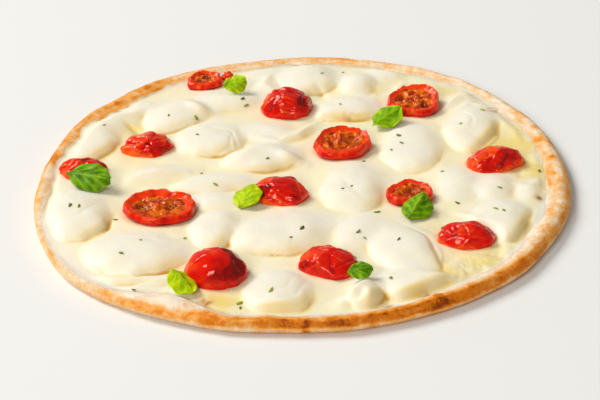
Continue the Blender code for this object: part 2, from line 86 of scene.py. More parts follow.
# Bubbles of the rim; across runs from 0 at the cheese to 1 at the edge
BLISTERS = table("size height", "angle across brown", (
    (2.6, 0.4, 38, 0.45, 0.7), (2, 0.4, 28, 0.55, 0.6), (2.6, 0.5, 20, 0.5, 0.7),
    (3.4, 0.7, 14, 0.4, 1.0), (2.4, 0.6, 12, 0.7, 0.9), (2.6, 0.5, 5, 0.52, 0.8),
    (2, 0.4, -2, 0.35, 0.8), (2.4, 0.4, -9, 0.6, 0.6), (4, 0.3, 62, 0.5, 0.4), (6, 0.3, 80, 0.6, 0.2),
    (5, 0.4, 128, 0.55, 0.4), (4, 0.5, 138, 0.5, 0.7), (8, 0.4, 146, 0.5, 0.4), (8, 0.4, 168, 0.4, 0.3),
    (12, 1, 240, 0.3, -0.2), (8, 0.7, 233, 0.4, -0.2), (3, 0.2, 246, 0.9, 0.3), (7, 1, 262, 0.3, 0.2),
    (3.4, 0.3, 265, 0.75, 0.3), (3.4, 0.3, 270, 0.9, 1.0), (5, 0.3, 283, 0.85, 0.5),
    (4, 0.3, 289, 0.6, 0.4), (3.4, 0.8, 298, 0.45, 1.0), (5, 0.3, 306, 0.6, 0.4),
    (6, 0.3, 320, 0.6, 0.3),
))

# The cheese
SHEET_TOP = 0.0070
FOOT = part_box("mozzarella_01")[0].z
# The mounds and lumps of mozzarella; their numbers count from 1 in this order
MOUNDS = table("x y half_length half_width height", "turn", (
    (-10, -57, 27, 20, 6.2, 12), (-89, -73, 26, 20, 6.2, -5), (-123.5, -29, 27, 16, 6, 100),
    (54, -78, 26, 16, 5.6, 113), (29, -13, 25, 16, 5.2, 88), (108, -53, 20, 16, 6, 80),
    (-50, 50, 19, 18, 5.6, 0), (-21, 25, 22, 12.5, 5.6, 8), (-117, 58, 29, 14, 5.6, 72),
    (-70, 80, 21, 15, 5.6, 40), (64, 32, 27, 16, 4.8, 88), (99, 52, 25, 15, 5.6, 80),
    (-13, -117, 19, 17, 6.2, 100), (56, -114, 17, 14, 6.2, 0), (32.5, -121.5, 15, 9.5, 6.2, 80),
    (-47, -51, 19, 13, 5.6, 80), (7, 120, 19, 17, 5.6, 90), (30, 80, 19, 12, 5, 8),
    (36, 110, 15, 11, 4.6, 90), (-42, 96, 17, 12, 4.6, -10), (106, -18, 13, 11, 4.6, 90),
    (86, -13, 19, 12, 4.2, 95), (-49, -2, 22, 9, 4.2, 8), (30, -60, 16, 11, 3.8, 70),
    (-48, -21, 14, 9, 3.6, 0), (-92, 88, 11, 8, 3.6, 20), (-18, 118, 15, 11, 2.8, 90),
    (53, 123, 10, 9, 3, 0), (97, 87, 13, 7, 3, 30), (-17, 55, 14, 9, 2.8, -10),
    (-80, 11, 17, 7, 2.6, 10), (-88, -99, 20, 5.5, 2.6, -3), (125, -21, 11, 6.5, 2.8, 90),
))
SPREAD = 1.14  # how far a mound melts outwards past its size above
DOWNHILL = (-0.34, -0.94)  # the way the cheese ran: a mound is steep on this side and soft on the other
SHADED = (0.72, -0.69)  # the way the mounds' shaded, yellower sides face
SHADE_REACH = 0.0034  # how far off the height is compared to find those sides
MELTED = 0.86  # how much of its height a mound keeps once it has melted
SIDE_POWERS = (0.55, 1.20)  # powers that give a mound its steep side and its soft one
MERGED = (19, 20, 21, 22, 24, 25, 26, 27, 28, 30, 31, 33)  # the mounds that melted most: soft all round
EDGE_SOFTNESS = (0.0007, 0.0050)  # height over which a mound's steep and soft edges blend
BANK_SLOPE = 0.07  # how gently the sheet rises to the low rim on the left
# Ridges and, below zero, creases of the cheese, through these places in millimetres
FOLDS = table("width height", "places", (
    (5, 2.2, ((-64, 92), (-56, 84), (-48, 78))), (4.2, 2.2, ((-11, 27), (-5, 22), (2, 17))),
    (1.2, -0.6, ((-62, 55), (-50, 60), (-38, 53), (-35, 38))),
    (1.1, -0.5, ((-56, 35), (-49, 30), (-40, 36), (-39, 48), (-47, 52))),
    (1.7, -1.3, ((-99, 69), (-92, 62), (-94, 55))), (5, 1.8, ((-107, 77), (-97, 79), (-88, 84))),
    (3, 1.3, ((-24, 47), (-11, 41), (3, 55), (10, 61))), (2.6, 1.2, ((-1, 50), (6, 60), (13, 71))),
    (3, 1.1, ((-94, 6), (-80, 11), (-64, 13))), (5, 0.8, ((-41, 16), (-24, 33), (-11, 34))),
    (2.4, -1.6, ((115, 55), (112, 44), (107, 35), (100, 24))),
    (4, 1.4, ((117, 62), (125, 50), (127, 38))), (2.2, 1.3, ((83, 75), (95, 87), (102, 89))),
    (2, 1.1, ((88, 72), (99, 80), (108, 79))), (2, -1.1, ((3, 67), (17, 70), (30, 67), (42, 66))),
    (2, -0.9, ((12, 107), (14, 100), (15, 93))), (1.6, -1.2, ((-116, -58), (-107, -46), (-103, -33))),
    (1.6, -1.2, ((-103, -95), (-88, -97), (-75, -95), (-66, -92))),
    (1.8, -0.9, ((-106, -105), (-89, -104), (-75, -99))),
    (1.2, -0.4, ((-15, -129), (-4, -125), (2, -110))),
    (1.1, -0.3, ((-19, -121), (-9, -118), (-5, -108))), (2, -1.2, ((-56, -122), (-49, -134))),
    (1.4, -0.9, ((53, -53), (65, -70), (71, -86), (73, -101))),
    (4.4, 2.6, ((62, -109), (73, -111), (80, -111))), (4.4, 3, ((32, -118), (25, -124), (17, -131))),
    (3.8, 2.6, ((34, -124), (33, -131), (33, -137))),
    (2, -1.8, ((126, -42), (124, -51), (121, -70), (113, -78))),
    (2.6, 1, ((84, -42), (91, -47), (95, -56))), (1.2, -0.4, ((-128, -40), (-120, -36), (-112, -22))),
    (1.2, -0.3, ((-98, -60), (-88, -62), (-74, -66))), (1.4, -0.4, ((22, -5), (26, -16), (34, -28))),
    (1.2, -0.4, ((95, 68), (99, 58), (97, 46))), (2.4, 1, ((-14, 104), (-20, 112), (-16, 122))),
    (2.6, 1.1, ((52, 92), (60, 100), (64, 112))),
))
# Places where shreds of cheese stayed rough, pools of yellow fat, and small scorched spots
TUFTS = table("x y radius height", "", (
    (102, -88, 15, 1.2), (84, -104, 13, 1.4), (112, -80, 9, 1), (124, -10, 13, 1.1), (132, 12, 10, 0.9),
    (40, -132, 7, 1.2), (-58, 10, 10, 0.6), (-73, -60, 6, 0.6), (-60, -120, 10, 0.8), (45, 97, 10, 0.6),
    (76, -55, 10, 0.6),
))
OILY_PATCHES = table("x y radius", "amount", (
    (121, 30, 26, 1.0), (131, 4, 18, 1.0), (94, -88, 18, 0.8), (74, -104, 12, 0.9), (-44, -124, 16, 1.0),
    (-66, -126, 10, 0.7), (88, 100, 14, 0.5), (128, 52, 14, 0.7), (25, 70, 8, 0.8), (47, 99, 8, 0.5),
    (-95, 65, 8, 1.0), (-93, 34, 10, 0.6), (12, -30, 10, 0.4), (70, -60, 12, 0.4),
))
BROWN_SPOTS = table("x y radius", "amount", (
    (130, -30, 3, 0.9), (113, 72, 4, 0.7), (63, -127, 4.5, 0.8), (43, -135, 3.5, 0.7),
    (-52, -125, 6, 0.8), (29, 68, 4, 0.5),
))

# The toppings
# Tomato halves and basil leaves; their numbers too count from 1 in this order
TOMATOES = table("x y width depth height", "turn cut_side_up", (
    (-54.3, 118.5, 21.5, 17.5, 6.2, 6, True), (-6, 83.5, 30, 26, 12.5, -8, False),
    (67.7, 80.5, 31, 28, 8.5, -8, True), (-86, 42.5, 30, 24, 8.5, 4, False),
    (24.8, 32, 33, 27, 9, 3, True), (109.2, 10, 33, 24, 10, 8, False),
    (-121.5, 16, 27, 22, 8.5, -10, False), (-77.5, -31, 40, 32, 8, -4, True),
    (-11.2, -17, 31.5, 24, 10.3, -12, False), (59.8, -26, 26, 19, 7.5, 5, True),
    (-45.8, -98.2, 33, 27.5, 14.8, -10, False), (13.4, -94, 32.5, 24, 11.2, -14, False),
    (87, -70, 32, 22, 9.2, -6, False), (-41.2, 125.5, 8, 5.2, 4.5, 12, False),
))
SUNK = 0.0014  # how deep a half stands in the cheese
LEAVES = table("x y length width", "heading pitch roll fold curl", (
    (-36.5, 103.5, 14, 12.5, 12, 8, 18, 16, 30), (51, 58.5, 21, 18, 35, 14, 14, 24, 50),
    (-117.5, -2.5, 27, 17.5, -24, 2, 28, 10, 26), (-30, -25, 18.5, 17, 60, 20, -8, 14, 40),
    (62, -44, 20, 19.5, 60, 18, 4, 30, 30), (-62.5, -111, 20, 16, -52, -20, -14, 22, 46),
    (29, -112.5, 14, 11, 4, 6, 24, 20, 60),
))
LEAF_THICKNESS = 0.0005
# Chips of dried herb
FLAKES = table("x y length", "turn", (
    (-32, 93, 3.8, 50), (-30, 87, 3.4, 35), (-59, 72, 3.6, -65), (-75, 73, 2.2, 75), (-58, 49, 2.2, -35),
    (-112, 64, 2.2, 35), (15, 120, 2.4, 0), (28, 126, 1.8, 0), (25, 80, 2, 35), (-18, 19, 2.8, 50),
    (57, 41, 3.2, -50), (58, 32, 3, -45), (52, 25, 2.8, 60), (93, 51, 2.4, 50), (107, 69, 3, -30),
    (133, 0, 2.4, 85), (36, 17, 2.6, 20), (-55, 10, 2, 0), (-47, -7, 3.2, -45), (79, 0, 2, 20),
    (28, -16, 2.2, 50), (23, -19, 1.8, 20), (-126, -28, 3.6, 75), (-121, -29, 3.2, 80),
    (-101, -37, 3, 10), (-86, -67, 2.2, -20), (-96, -80, 3.2, -35), (-63, -61, 2, 20),
    (-88, -112, 3.2, -50), (-33, -126, 4.4, 30), (-33, -131, 2.4, 75), (-17, -122, 4, 65),
    (0, -61, 3.6, 65), (-6, -69, 2.2, 35), (41, -40, 3.8, 20), (30, -64, 3.2, 50), (33, -69, 2.2, -60),
    (51, -75, 2.8, 50), (85, -33, 3, -35), (109, -22, 3.4, -10), (105, -46, 3, -35),
    (109, -49, 2.6, -50), (45, -113, 3.6, 75),
))

# Smooth noise
RANDOM = np.random.default_rng(11)
SHUFFLE = RANDOM.permutation(256)
GRADIENTS = RANDOM.normal(size=(256, 3))
GRADIENTS /= np.linalg.norm(GRADIENTS, axis=1, keepdims=True)
SEED_STEP = np.array((17.13, 5.71, 41.93))  # how far apart two seeds read the noise


def noise(points, per_metre, seed=0.0):
    """Smooth noise, mostly between -1 and 1, with about so many bumps in a metre."""
    place = np.asarray(points, float) * per_metre + SEED_STEP * seed
    cell = np.floor(place).astype(int)
    inside = place - cell
    eased = inside**3 * (inside * (inside * 6 - 15) + 10)
    total = np.zeros(len(place))
    for corner in itertools.product((0, 1), repeat=3):
        key = 0
        for axis in range(3):
            key = SHUFFLE[(key + cell[:, axis] + corner[axis]) & 255]
        weight = np.prod(np.where(corner, eased, 1 - eased), axis=1)
        total += weight * np.sum(GRADIENTS[key] * (inside - corner), axis=1)
    return 1.5 * total


def noises(points, *layers):
    """A sum of noises: how strong each is, its bumps in a metre and its seed."""
    return sum(strength * noise(points, per_metre, seed) for strength, per_metre, seed in layers)


def ridges(points, per_metre, seed, sharpness):
    """Narrow lines: 1 on them, 0 between."""
    return (1.0 - np.minimum(1.0, np.abs(noise(points, per_metre, seed)) * sharpness)) ** 2


# Shared shapes
def plan_points(x, y):
    return np.column_stack((x, y, np.zeros_like(x)))


def polar(radius, angle, z):
    return np.column_stack((radius * np.cos(angle), radius * np.sin(angle), z))


def turned(x, y, degrees):
    """The points as they lie along and across a line turned so many degrees from +X."""
    c, s = cos(radians(degrees)), sin(radians(degrees))
    return x * c + y * s, y * c - x * s


def ease(low, high, value):
    """0 up to the first value and 1 from the second on, with a smooth rise between them."""
    share = np.clip((value - low) / (high - low), 0.0, 1.0)
    return share * share * (3.0 - 2.0 * share)


def blend(ends, share):
    return ends[0] + (ends[1] - ends[0]) * share


def soft_max(a, b, softness):
    """The higher of two surfaces, rounded where they meet."""
    share = np.clip(0.5 + 0.5 * (b - a) / softness, 0.0, 1.0)
    return a + (b - a) * share + softness * share * (1.0 - share)


def ripple(angle, ripples):
    return sum(size * np.cos(count * (angle - radians(peak))) for size, count, peak in ripples)


def round_the_rim(angle, values):
    """A value read smoothly between those stated at equal steps round the pizza."""
    values = np.asarray(values)
    place = np.mod(angle, tau) / tau * len(values)
    before = place.astype(int) % len(values)
    after = (before + 1) % len(values)
    return blend((values[before], values[after]), ease(0.0, 1.0, place - np.floor(place)))


def edge_radius(angle):
    return EDGE_RADIUS + ripple(angle, EDGE_RIPPLES)


def rim_width(angle):
    return round_the_rim(angle, RIM_WIDTHS)


def cheese_radius(angle):
    return edge_radius(angle) - rim_width(angle)


# Pieces and materials
def new_piece(name, points, faces, finish, replaced, attributes, sharp_points=()):
    """A smooth piece of the pizza that stands for the solids named; edges between sharp points stay sharp."""
    mesh = bpy.data.meshes.new(name)
    mesh.from_pydata([tuple(p) for p in points], [], [tuple(f) for f in faces])
    for key, values in attributes.items():
        layer = mesh.attributes.new(key, "FLOAT", "POINT")
        layer.data.foreach_set("value", np.asarray(values, np.float32))
    mesh.materials.append(finish)
    mesh.shade_smooth()
    mesh.validate()
    sharp = set(sharp_points)
    for edge in mesh.edges:
        edge.use_edge_sharp = sharp.issuperset(edge.vertices)
    piece = bpy.data.objects.new(name, mesh)
    bpy.context.scene.collection.objects.link(piece)
    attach(piece, "root")
    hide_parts(*replaced)
    return piece


def grid_faces(rows, columns, wrap):
    """Quads between the rows of a grid; with wrap, the last column joins the first."""
    first = np.arange(rows - 1)[:, None] * columns
    column = np.arange(columns if wrap else columns - 1)[None, :]
    after = (column + 1) % columns
    corners = (first + column, first + after, first + columns + after, first + columns + column)
    return np.stack([c.ravel() for c in corners], axis=1).tolist()


def linear(colour):
    """A colour as a screen shows it, 0 to 255, as Blender's linear colour."""
    parts = [value / 255 for value in colour]
    return (*(part / 12.92 if part <= 0.04045 else ((part + 0.055) / 1.055) ** 2.4 for part in parts), 1.0)


class Finish:
    """A Principled material and the few nodes that paint it."""

    def __init__(self, name, **settings):
        self.material = bpy.data.materials.new(name)
        self.material.use_nodes = True
        self.tree = self.material.node_tree
        self.shader = self.tree.nodes["Principled BSDF"]
        for key, value in settings.items():
            self.shader.inputs[key.replace("_", " ")].default_value = value
        self.place = self.node("TexCoord", {})["Object"]

    def put(self, source, socket):
        """Links an output to the socket, or gives the socket a number or a screen colour."""
        if isinstance(source, bpy.types.NodeSocket):
            self.tree.links.new(source, socket)
        else:
            socket.default_value = linear(source) if isinstance(source, tuple) else source

    def node(self, kind, sources, **options):
        """The outputs of a new node with these options and inputs."""
        made = self.tree.nodes.new("ShaderNode" + kind)
        for key, value in options.items():
            setattr(made, key, value)
        for key, source in sources.items():
            self.put(source, made.inputs[key])
        return made.outputs

    def painted(self, name):
        """The values that the mesh holds under this name."""
        return self.node("Attribute", {}, attribute_name=name)["Fac"]

    def noise(self, scale, detail=3.0, roughness=0.55, distortion=0.0):
        sources = {"Vector": self.place, "Scale": scale, "Detail": detail}
        return self.node("TexNoise", sources | {"Roughness": roughness, "Distortion": distortion})["Fac"]

    def cells(self, scale):
        return self.node("TexVoronoi", {"Vector": self.place, "Scale": scale})["Distance"]

    def add(self, a, b):
        return self.node("Math", {0: a, 1: b}, operation="ADD")[0]

    def times(self, a, b):
        return self.node("Math", {0: a, 1: b}, operation="MULTIPLY")[0]

    def between(self, *values):
        """A value's place between two others, eased, from 0 to 1 or between two more values."""
        return self.node("MapRange", dict(enumerate(values)), interpolation_type="SMOOTHSTEP")[0]

    def mottled(self, source, low, high, *noise):
        """The source made uneven by a noise that adds between the low and the high value."""
        return self.add(source, self.between(self.noise(*noise), 0.3, 0.7, low, high))

    def mix(self, share, a, b):
        return self.node("Mix", {0: share, 6: a, 7: b}, data_type="RGBA")[2]

    def coats(self, base, *coats):
        """The base colour under coats: how strongly each shows, and its colour."""
        for share, colour in coats:
            base = self.mix(share, base, colour)
        return base

    def finished(self, colour, height, bump_distance, bump_strength, roughness=None):
        """The material, once its colour, its bump and, where given, its uneven roughness are in."""
        bump = self.node("Bump", {"Height": height, "Distance": bump_distance, "Strength": bump_strength})[0]
        for name, source in (("Base Color", colour), ("Normal", bump), ("Roughness", roughness)):
            if source is not None:
                self.put(source, self.shader.inputs[name])
        return self.material


def crust_finish():
    """Baked dough: floury and pale inside the rim, golden on its crest, with darker blisters."""
    finish = Finish("baked_dough", Roughness=0.7, Specular_IOR_Level=0.14)
    baked = finish.mottled(finish.painted("toast_and_painted_light"), -0.16, 0.16, 95.0, 5.0, 0.62)
    baked = finish.mottled(baked, -0.15, 0.15, 520.0, 4.0, 0.7)
    colour = finish.coats(
        (250, 234, 212),
        (finish.between(baked, -0.05, 0.34), (242, 206, 162)),
        (finish.between(baked, 0.26, 0.70), (242, 168, 78)),
        (finish.between(baked, 0.60, 1.05), (222, 120, 10)),
        (finish.between(baked, 1.00, 1.50), (140, 56, 0)),
    )
    grain = finish.add(finish.noise(260.0, 6.0, 0.65), finish.times(finish.cells(900.0), 0.35))
    return finish.finished(colour, grain, 0.0008, 0.5, finish.between(baked, 0.2, 1.0, 0.82, 0.55))


def cheese_finish():
    """Melted mozzarella: nearly white on the mounds, creamier between them, with painted shade: ochre in the
    creases.
    """
    finish = Finish(
        "melted_mozzarella", Specular_IOR_Level=0.35,
        Subsurface_Weight=0.35, Subsurface_Scale=0.005, Subsurface_Radius=(1.0, 0.8, 0.45),
    )
    oil = finish.painted("oil")
    fine = finish.noise(420.0, 4.0, 0.6)
    # whiteness is lower in valleys: painted shade
    whiteness = finish.mottled(finish.painted("white"), -0.25, 0.2, 60.0, 4.0, 0.6)
    whiteness = finish.add(whiteness, finish.between(fine, 0.3, 0.7, -0.06, 0.06))
    colour = finish.coats(
        (253, 239, 200),
        (finish.between(whiteness, -0.1, 0.8), (247, 240, 221)),
        (finish.times(finish.painted("bare"), 0.85), (254, 240, 219)),
        (finish.times(oil, 0.9), (250, 220, 126)),
        # painted shade: yellower on the sides turned from the light, ochre in the creases
        (finish.times(finish.painted("shaded"), 0.78), (243, 212, 128)),
        (finish.painted("crease"), (216, 164, 52)),
        # tomato juice and painted contact shade: orange round the tomatoes
        (finish.times(finish.painted("juice_and_contact_shade"), 0.55), (232, 150, 66)),
        (finish.painted("scorch"), (176, 104, 36)),
    )
    relief = finish.add(finish.noise(150.0, 5.0, 0.55, 0.4), finish.times(finish.noise(900.0), 0.25))
    roughness = finish.between(finish.add(oil, finish.times(fine, 0.3)), 0.1, 1.0, 0.5, 0.25)
    return finish.finished(colour, relief, 0.0006, 0.3, roughness)


def tomato_finish():
    """Roasted tomato: glossy deep red skin, scarlet flesh at the cut and golden brown pulp."""
    finish = Finish(
        "roasted_tomato", Subsurface_Weight=0.05, Subsurface_Scale=0.002, Subsurface_Radius=(1.0, 0.2, 0.05),
        Specular_IOR_Level=0.45, Specular_Tint=(1.0, 0.68, 0.54, 1.0),
    )
    flesh = finish.painted("flesh")
    mottle = finish.noise(180.0, 4.0, 0.6)
    # light holds the skin's own tone together with its painted shade and painted highlights
    light = finish.add(finish.painted("light"), finish.between(mottle, 0.3, 0.7, -0.15, 0.15))
    skin = finish.mix(finish.between(light, -0.2, 0.5), (132, 0, 0), (226, 14, 0))
    skin = finish.mix(finish.between(light, 0.45, 1.1), skin, (252, 96, 22))
    cut = finish.mix(finish.between(light, -0.2, 0.8), (200, 6, 0), (252, 64, 2))
    pulp = finish.coats(
        (160, 36, 0),
        (finish.between(finish.noise(230.0, 3.0, 0.6), 0.36, 0.64), (240, 112, 2)),
        # painted shade: darker brown in the pulp's hollows; also the seeds' dark middles
        (finish.painted("deep"), (120, 34, 4)),
        (finish.painted("seed"), (228, 146, 44)),
    )
    colour = finish.coats(skin, (flesh, cut), (finish.painted("pulp"), pulp))
    grain = finish.times(finish.noise(480.0, 5.0, 0.6), finish.between(flesh, 0.0, 1.0, 0.5, 1.4))
    roughness = finish.between(finish.add(flesh, mottle), 0.3, 1.6, 0.06, 0.14)
    return finish.finished(colour, grain, 0.0005, 0.3, roughness)


def leaf_finish():
    """Basil: fresh green with paler veins; young and curled leaves are more yellow."""
    finish = Finish(
        "basil_leaf", Roughness=0.42, Subsurface_Weight=0.1, Subsurface_Scale=0.002,
        Subsurface_Radius=(0.5, 1.0, 0.1), Specular_IOR_Level=0.16, Specular_Tint=(0.9, 1.0, 0.6, 1.0),
    )
    shade = finish.mottled(finish.painted("young"), -0.15, 0.15, 260.0, 4.0, 0.6)
    colour = finish.coats(
        (62, 112, 0),
        (finish.between(shade, -0.1, 0.5), (122, 172, 4)),
        (finish.between(shade, 0.45, 1.1), (196, 216, 0)),
        (finish.times(finish.painted("vein"), 0.55), (196, 220, 50)),
    )
    return finish.finished(colour, finish.noise(900.0, 4.0, 0.6), 0.0002, 0.25)


def herb_finish():
    """Dried oregano and parsley: dark olive green, some of it paler."""
    finish = Finish("dried_herb", Roughness=0.7, Specular_IOR_Level=0.3)
    mottle = finish.noise(1400.0, 3.0, 0.6)
    shade = finish.add(finish.painted("tone"), finish.between(mottle, 0.3, 0.7, -0.25, 0.25))
    colour = finish.coats(
        (84, 92, 6),
        (finish.between(shade, 0.0, 0.5), (136, 152, 16)),
        (finish.between(shade, 0.5, 1.0), (176, 196, 40)),
    )
    return finish.finished(colour, mottle, 0.0002, 0.5)


# The crust
CRUST_SIDES = 720
PROFILE_STEPS = 6


def smooth_line(points, steps):
    """A line through the points, rounded between them."""
    points = np.asarray(points, float)
    padded = np.vstack((2 * points[0] - points[1], points, 2 * points[-1] - points[-2]))
    line = []
    for a, b, c, d in zip(padded, padded[1:], padded[2:], padded[3:]):
        for share in np.arange(steps) / steps:
            bend = (2 * a - 5 * b + 4 * c - d) * share**2 + (3 * b - a - 3 * c + d) * share**3
            line.append(0.5 * (2 * b + (c - a) * share + bend))
    return np.array(line + [points[-1]])


def crust_profile():
    """Across the rim, from the cheese over the crest to the underside: distance from the middle, height."""
    bed = EDGE_RADIUS - RIM_WIDTH
    stations = (
        (bed - 0.0010, BED_HEIGHT),
        (bed + 0.0006, SHEET_TOP),
        (bed + 0.0032, 0.0082),
        (EDGE_RADIUS - 0.0044, RIM_HEIGHT),
        (EDGE_RADIUS - 0.0020, 0.0080),
        (EDGE_RADIUS - 0.0004, 0.0058),
        (EDGE_RADIUS, 0.0038),
        (EDGE_RADIUS - 0.0014, 0.0013),
        (EDGE_RADIUS - 0.0045, 0.0),
    )
    return smooth_line(stations, PROFILE_STEPS)


PROFILE = crust_profile()
PROFILE_ACROSS = (PROFILE[:, 0] - (EDGE_RADIUS - RIM_WIDTH)) / RIM_WIDTH  # 0 at the cheese, 1 at the edge
TOP_ROWS = slice(0, int(np.argmax(PROFILE_ACROSS)) + 1)


def blister_strength(blister, x, y):
    angle = np.array(radians(blister.angle))
    radius = cheese_radius(angle) + blister.across * rim_width(angle)
    distance = np.hypot(x - radius * np.cos(angle), y - radius * np.sin(angle)) / blister.size
    return np.exp(-2.2 * distance**2)


def uneven_rim(angle, across, z):
    """The height of a rim point once the crest rises and falls, with its knobs and blisters."""
    width = rim_width(angle)
    points = polar(cheese_radius(angle) + across * width, angle, 0.0 * z)
    upper = ease(SHEET_TOP - 0.0006, SHEET_TOP + 0.0012, z)
    rise = (0.05 + 0.95 * ease(0.004, 0.010, width)) * (1.0 + ripple(angle, CREST_RIPPLES))
    z = z + upper * (z - SHEET_TOP) * (rise - 1.0)
    z = z + upper * noises(points, (0.0005, 55, 1), (0.00025, 160, 2), (0.0001, 420, 3))
    for blister in BLISTERS:
        z = z + blister.height * upper * blister_strength(blister, points[:, 0], points[:, 1])
    return z


def rim_height(angle, across):
    """The top of the crust at any angle and share of the rim's width."""
    z = np.interp(across, PROFILE_ACROSS[TOP_ROWS], PROFILE[TOP_ROWS, 1])
    return uneven_rim(angle, across, z)


def crust_toast_and_painted_light(angle, across, z, points):
    """How brown each point of the crust is, with painted shade and highlight: most on the upper outer side,
    less on the crest and low down.
    """
    inward = (1.0 - across) * rim_width(angle) + noises(points, (0.0016, 80, 11), (0.0008, 260, 18))
    reach = round_the_rim(angle, [baked.reach for baked in BAKED])
    brown = round_the_rim(angle, [baked.brown for baked in BAKED])
    band = ease(BAND_SOFTNESS, -BAND_SOFTNESS, inward - reach)
    shoulder = ease(0.0048, 0.0016, inward)
    low_side = ease(0.0056, 0.0034, z + 0.0009 * noise(points, 120, 12))
    streaks = noise(polar(9.0, angle, 7.0 * across), 1.0, 13)
    # painted light: shoulder makes the outer side browner as painted shade and leaves the crest paler as a
    # painted highlight
    toast_and_painted_light = 0.10 + band * (brown * (0.64 + 0.46 * shoulder) - 0.10)
    toast_and_painted_light += band * (noises(points, (0.26, 50, 8), (0.18, 190, 9)) + 0.24 * streaks)
    toast_and_painted_light = toast_and_painted_light + low_side * across * (0.34 - toast_and_painted_light) * 0.85
    toast_and_painted_light += ease(0.0004, 0.0001, z) * (0.20 + 0.25 * noise(points, 70, 10))
    ragged = 1.0 + 0.6 * noise(points, 420, 7)
    for blister in BLISTERS:
        toast_and_painted_light += 0.6 * blister.brown * ragged * blister_strength(blister, points[:, 0], points[:, 1])
    return toast_and_painted_light


def build_crust(finish):
    angle, row = np.meshgrid(np.arange(CRUST_SIDES) / CRUST_SIDES * tau, np.arange(len(PROFILE)))
    angle, row = angle.ravel(), row.ravel()
    across = PROFILE_ACROSS[row]
    z = uneven_rim(angle, across, PROFILE[row, 1])
    radius = cheese_radius(angle) + across * rim_width(angle)
    on_rim = polar(radius, angle, z)
    knobs = noises(on_rim, (0.0006, 48, 3), (0.0003, 170, 4), (0.00012, 600, 5))
    radius += ease(0.0002, 0.0025, z) * ease(0.2, 0.5, across) * knobs
    toast_and_painted_light = np.append(crust_toast_and_painted_light(angle, across, z, on_rim), (0.2, 0.45))
    points = polar(radius, angle, np.maximum(z, 0.0))
    faces = grid_faces(len(PROFILE), CRUST_SIDES, wrap=True)
    inner, outer = len(points), len(points) + 1
    last = len(points) - CRUST_SIDES
    ring = range(CRUST_SIDES)
    faces += [(inner, (i + 1) % CRUST_SIDES, i) for i in ring]
    faces += [(outer, last + i, last + (i + 1) % CRUST_SIDES) for i in ring]
    faces = [face[::-1] for face in faces]
    points = np.vstack((points, (0.0, 0.0, BED_HEIGHT), (0.0, 0.0, 0.0)))
    return new_piece("baked_crust", points, faces, finish, ["crust"], {"toast_and_painted_light": toast_and_painted_light})


# The cheese
CHEESE_GRID = 300
CHEESE_FOOT = BED_HEIGHT + 0.0004


def nearest_tomato(x, y):
    """0 at the middle of the nearest tomato, 1 on its outline, more outside."""
    shares = []
    for tomato in TOMATOES:
        along, across = turned(x - tomato.x, y - tomato.y, tomato.turn)
        shares.append(np.hypot(along / (tomato.width / 2), across / (tomato.depth / 2)))
    return np.min(shares, axis=0)


def near_patches(x, y, patches):
    """How strongly the nearest patch shows at each point, from 0 to 1."""
    strength = np.zeros_like(x)
    for patch in patches:
        distance = np.hypot(x - patch.x, y - patch.y) / patch.radius
        strength = np.maximum(strength, patch.amount * np.exp(-(distance**2) * 1.5))
    return strength


def mound_surface(mound, index, x, y):
    """Height of one mound above the sheet, and how soft its edge is, at each point."""
    dx, dy = x - mound.x, y - mound.y
    along, across = turned(dx, dy, mound.turn)
    share = np.hypot(along / (SPREAD * mound.half_length), across / (SPREAD * mound.half_width))
    lean = -(dx * DOWNHILL[0] + dy * DOWNHILL[1]) / np.maximum(1e-6, np.hypot(dx, dy))
    upper_side = ease(-0.6, 0.9, lean)
    if index in MERGED:
        upper_side = 0.6 + 0.4 * upper_side
    dome = MELTED * mound.height * np.maximum(1e-9, 1.0 - share**2.4) ** blend(SIDE_POWERS, upper_side)
    flow = noise(np.column_stack((along * 26, across * 85, np.full_like(x, index))), 1.0, 3)
    dome = dome * (1.0 + 0.14 * noise(plan_points(x, y), 60, index) + 0.05 * flow)
    return dome - 0.006 * np.maximum(0.0, share - 1.0), blend(EDGE_SOFTNESS, upper_side)


def fold_strength(fold, x, y):
    """1 along the fold's line, fading to 0 beside it and towards its two ends."""
    places = np.array(fold.places) / 1000
    nearest = np.full_like(x, 9.0)
    reached = np.zeros_like(x)
    for number, (a, b) in enumerate(zip(places, places[1:])):
        dx, dy = b - a
        share = np.clip(((x - a[0]) * dx + (y - a[1]) * dy) / (dx * dx + dy * dy), 0.0, 1.0)
        distance = np.hypot(x - a[0] - share * dx, y - a[1] - share * dy)
        closer = distance < nearest
        nearest = np.where(closer, distance, nearest)
        reached = np.where(closer, (number + share) / (len(places) - 1), reached)
    return np.exp(-((nearest / fold.width) ** 2)) * np.sin((0.12 + 0.76 * reached) * pi)


def sheet_height(x, y):
    """The sheet between the mounds, thinning out where it runs up on the rim."""
    z = SHEET_TOP + 0.0002 + noises(plan_points(x, y), (0.0006, 36, 5), (0.00035, 105, 6))
    angle = np.arctan2(y, x)
    across = (np.hypot(x, y) - cheese_radius(angle)) / rim_width(angle)
    on_rim = rim_height(angle, across) + 0.00030
    z = np.where(across > -0.6, soft_max(z, on_rim, 0.0018), z)
    banked = ease(0.35, 0.85, -np.cos(angle - radians(10)))
    to_crest = np.maximum(0.0, (0.5 - across) * rim_width(angle))
    bank = rim_height(angle, np.full_like(across, 0.5)) - 0.0002 - BANK_SLOPE * to_crest
    return z + banked * np.maximum(0.0, bank - z)


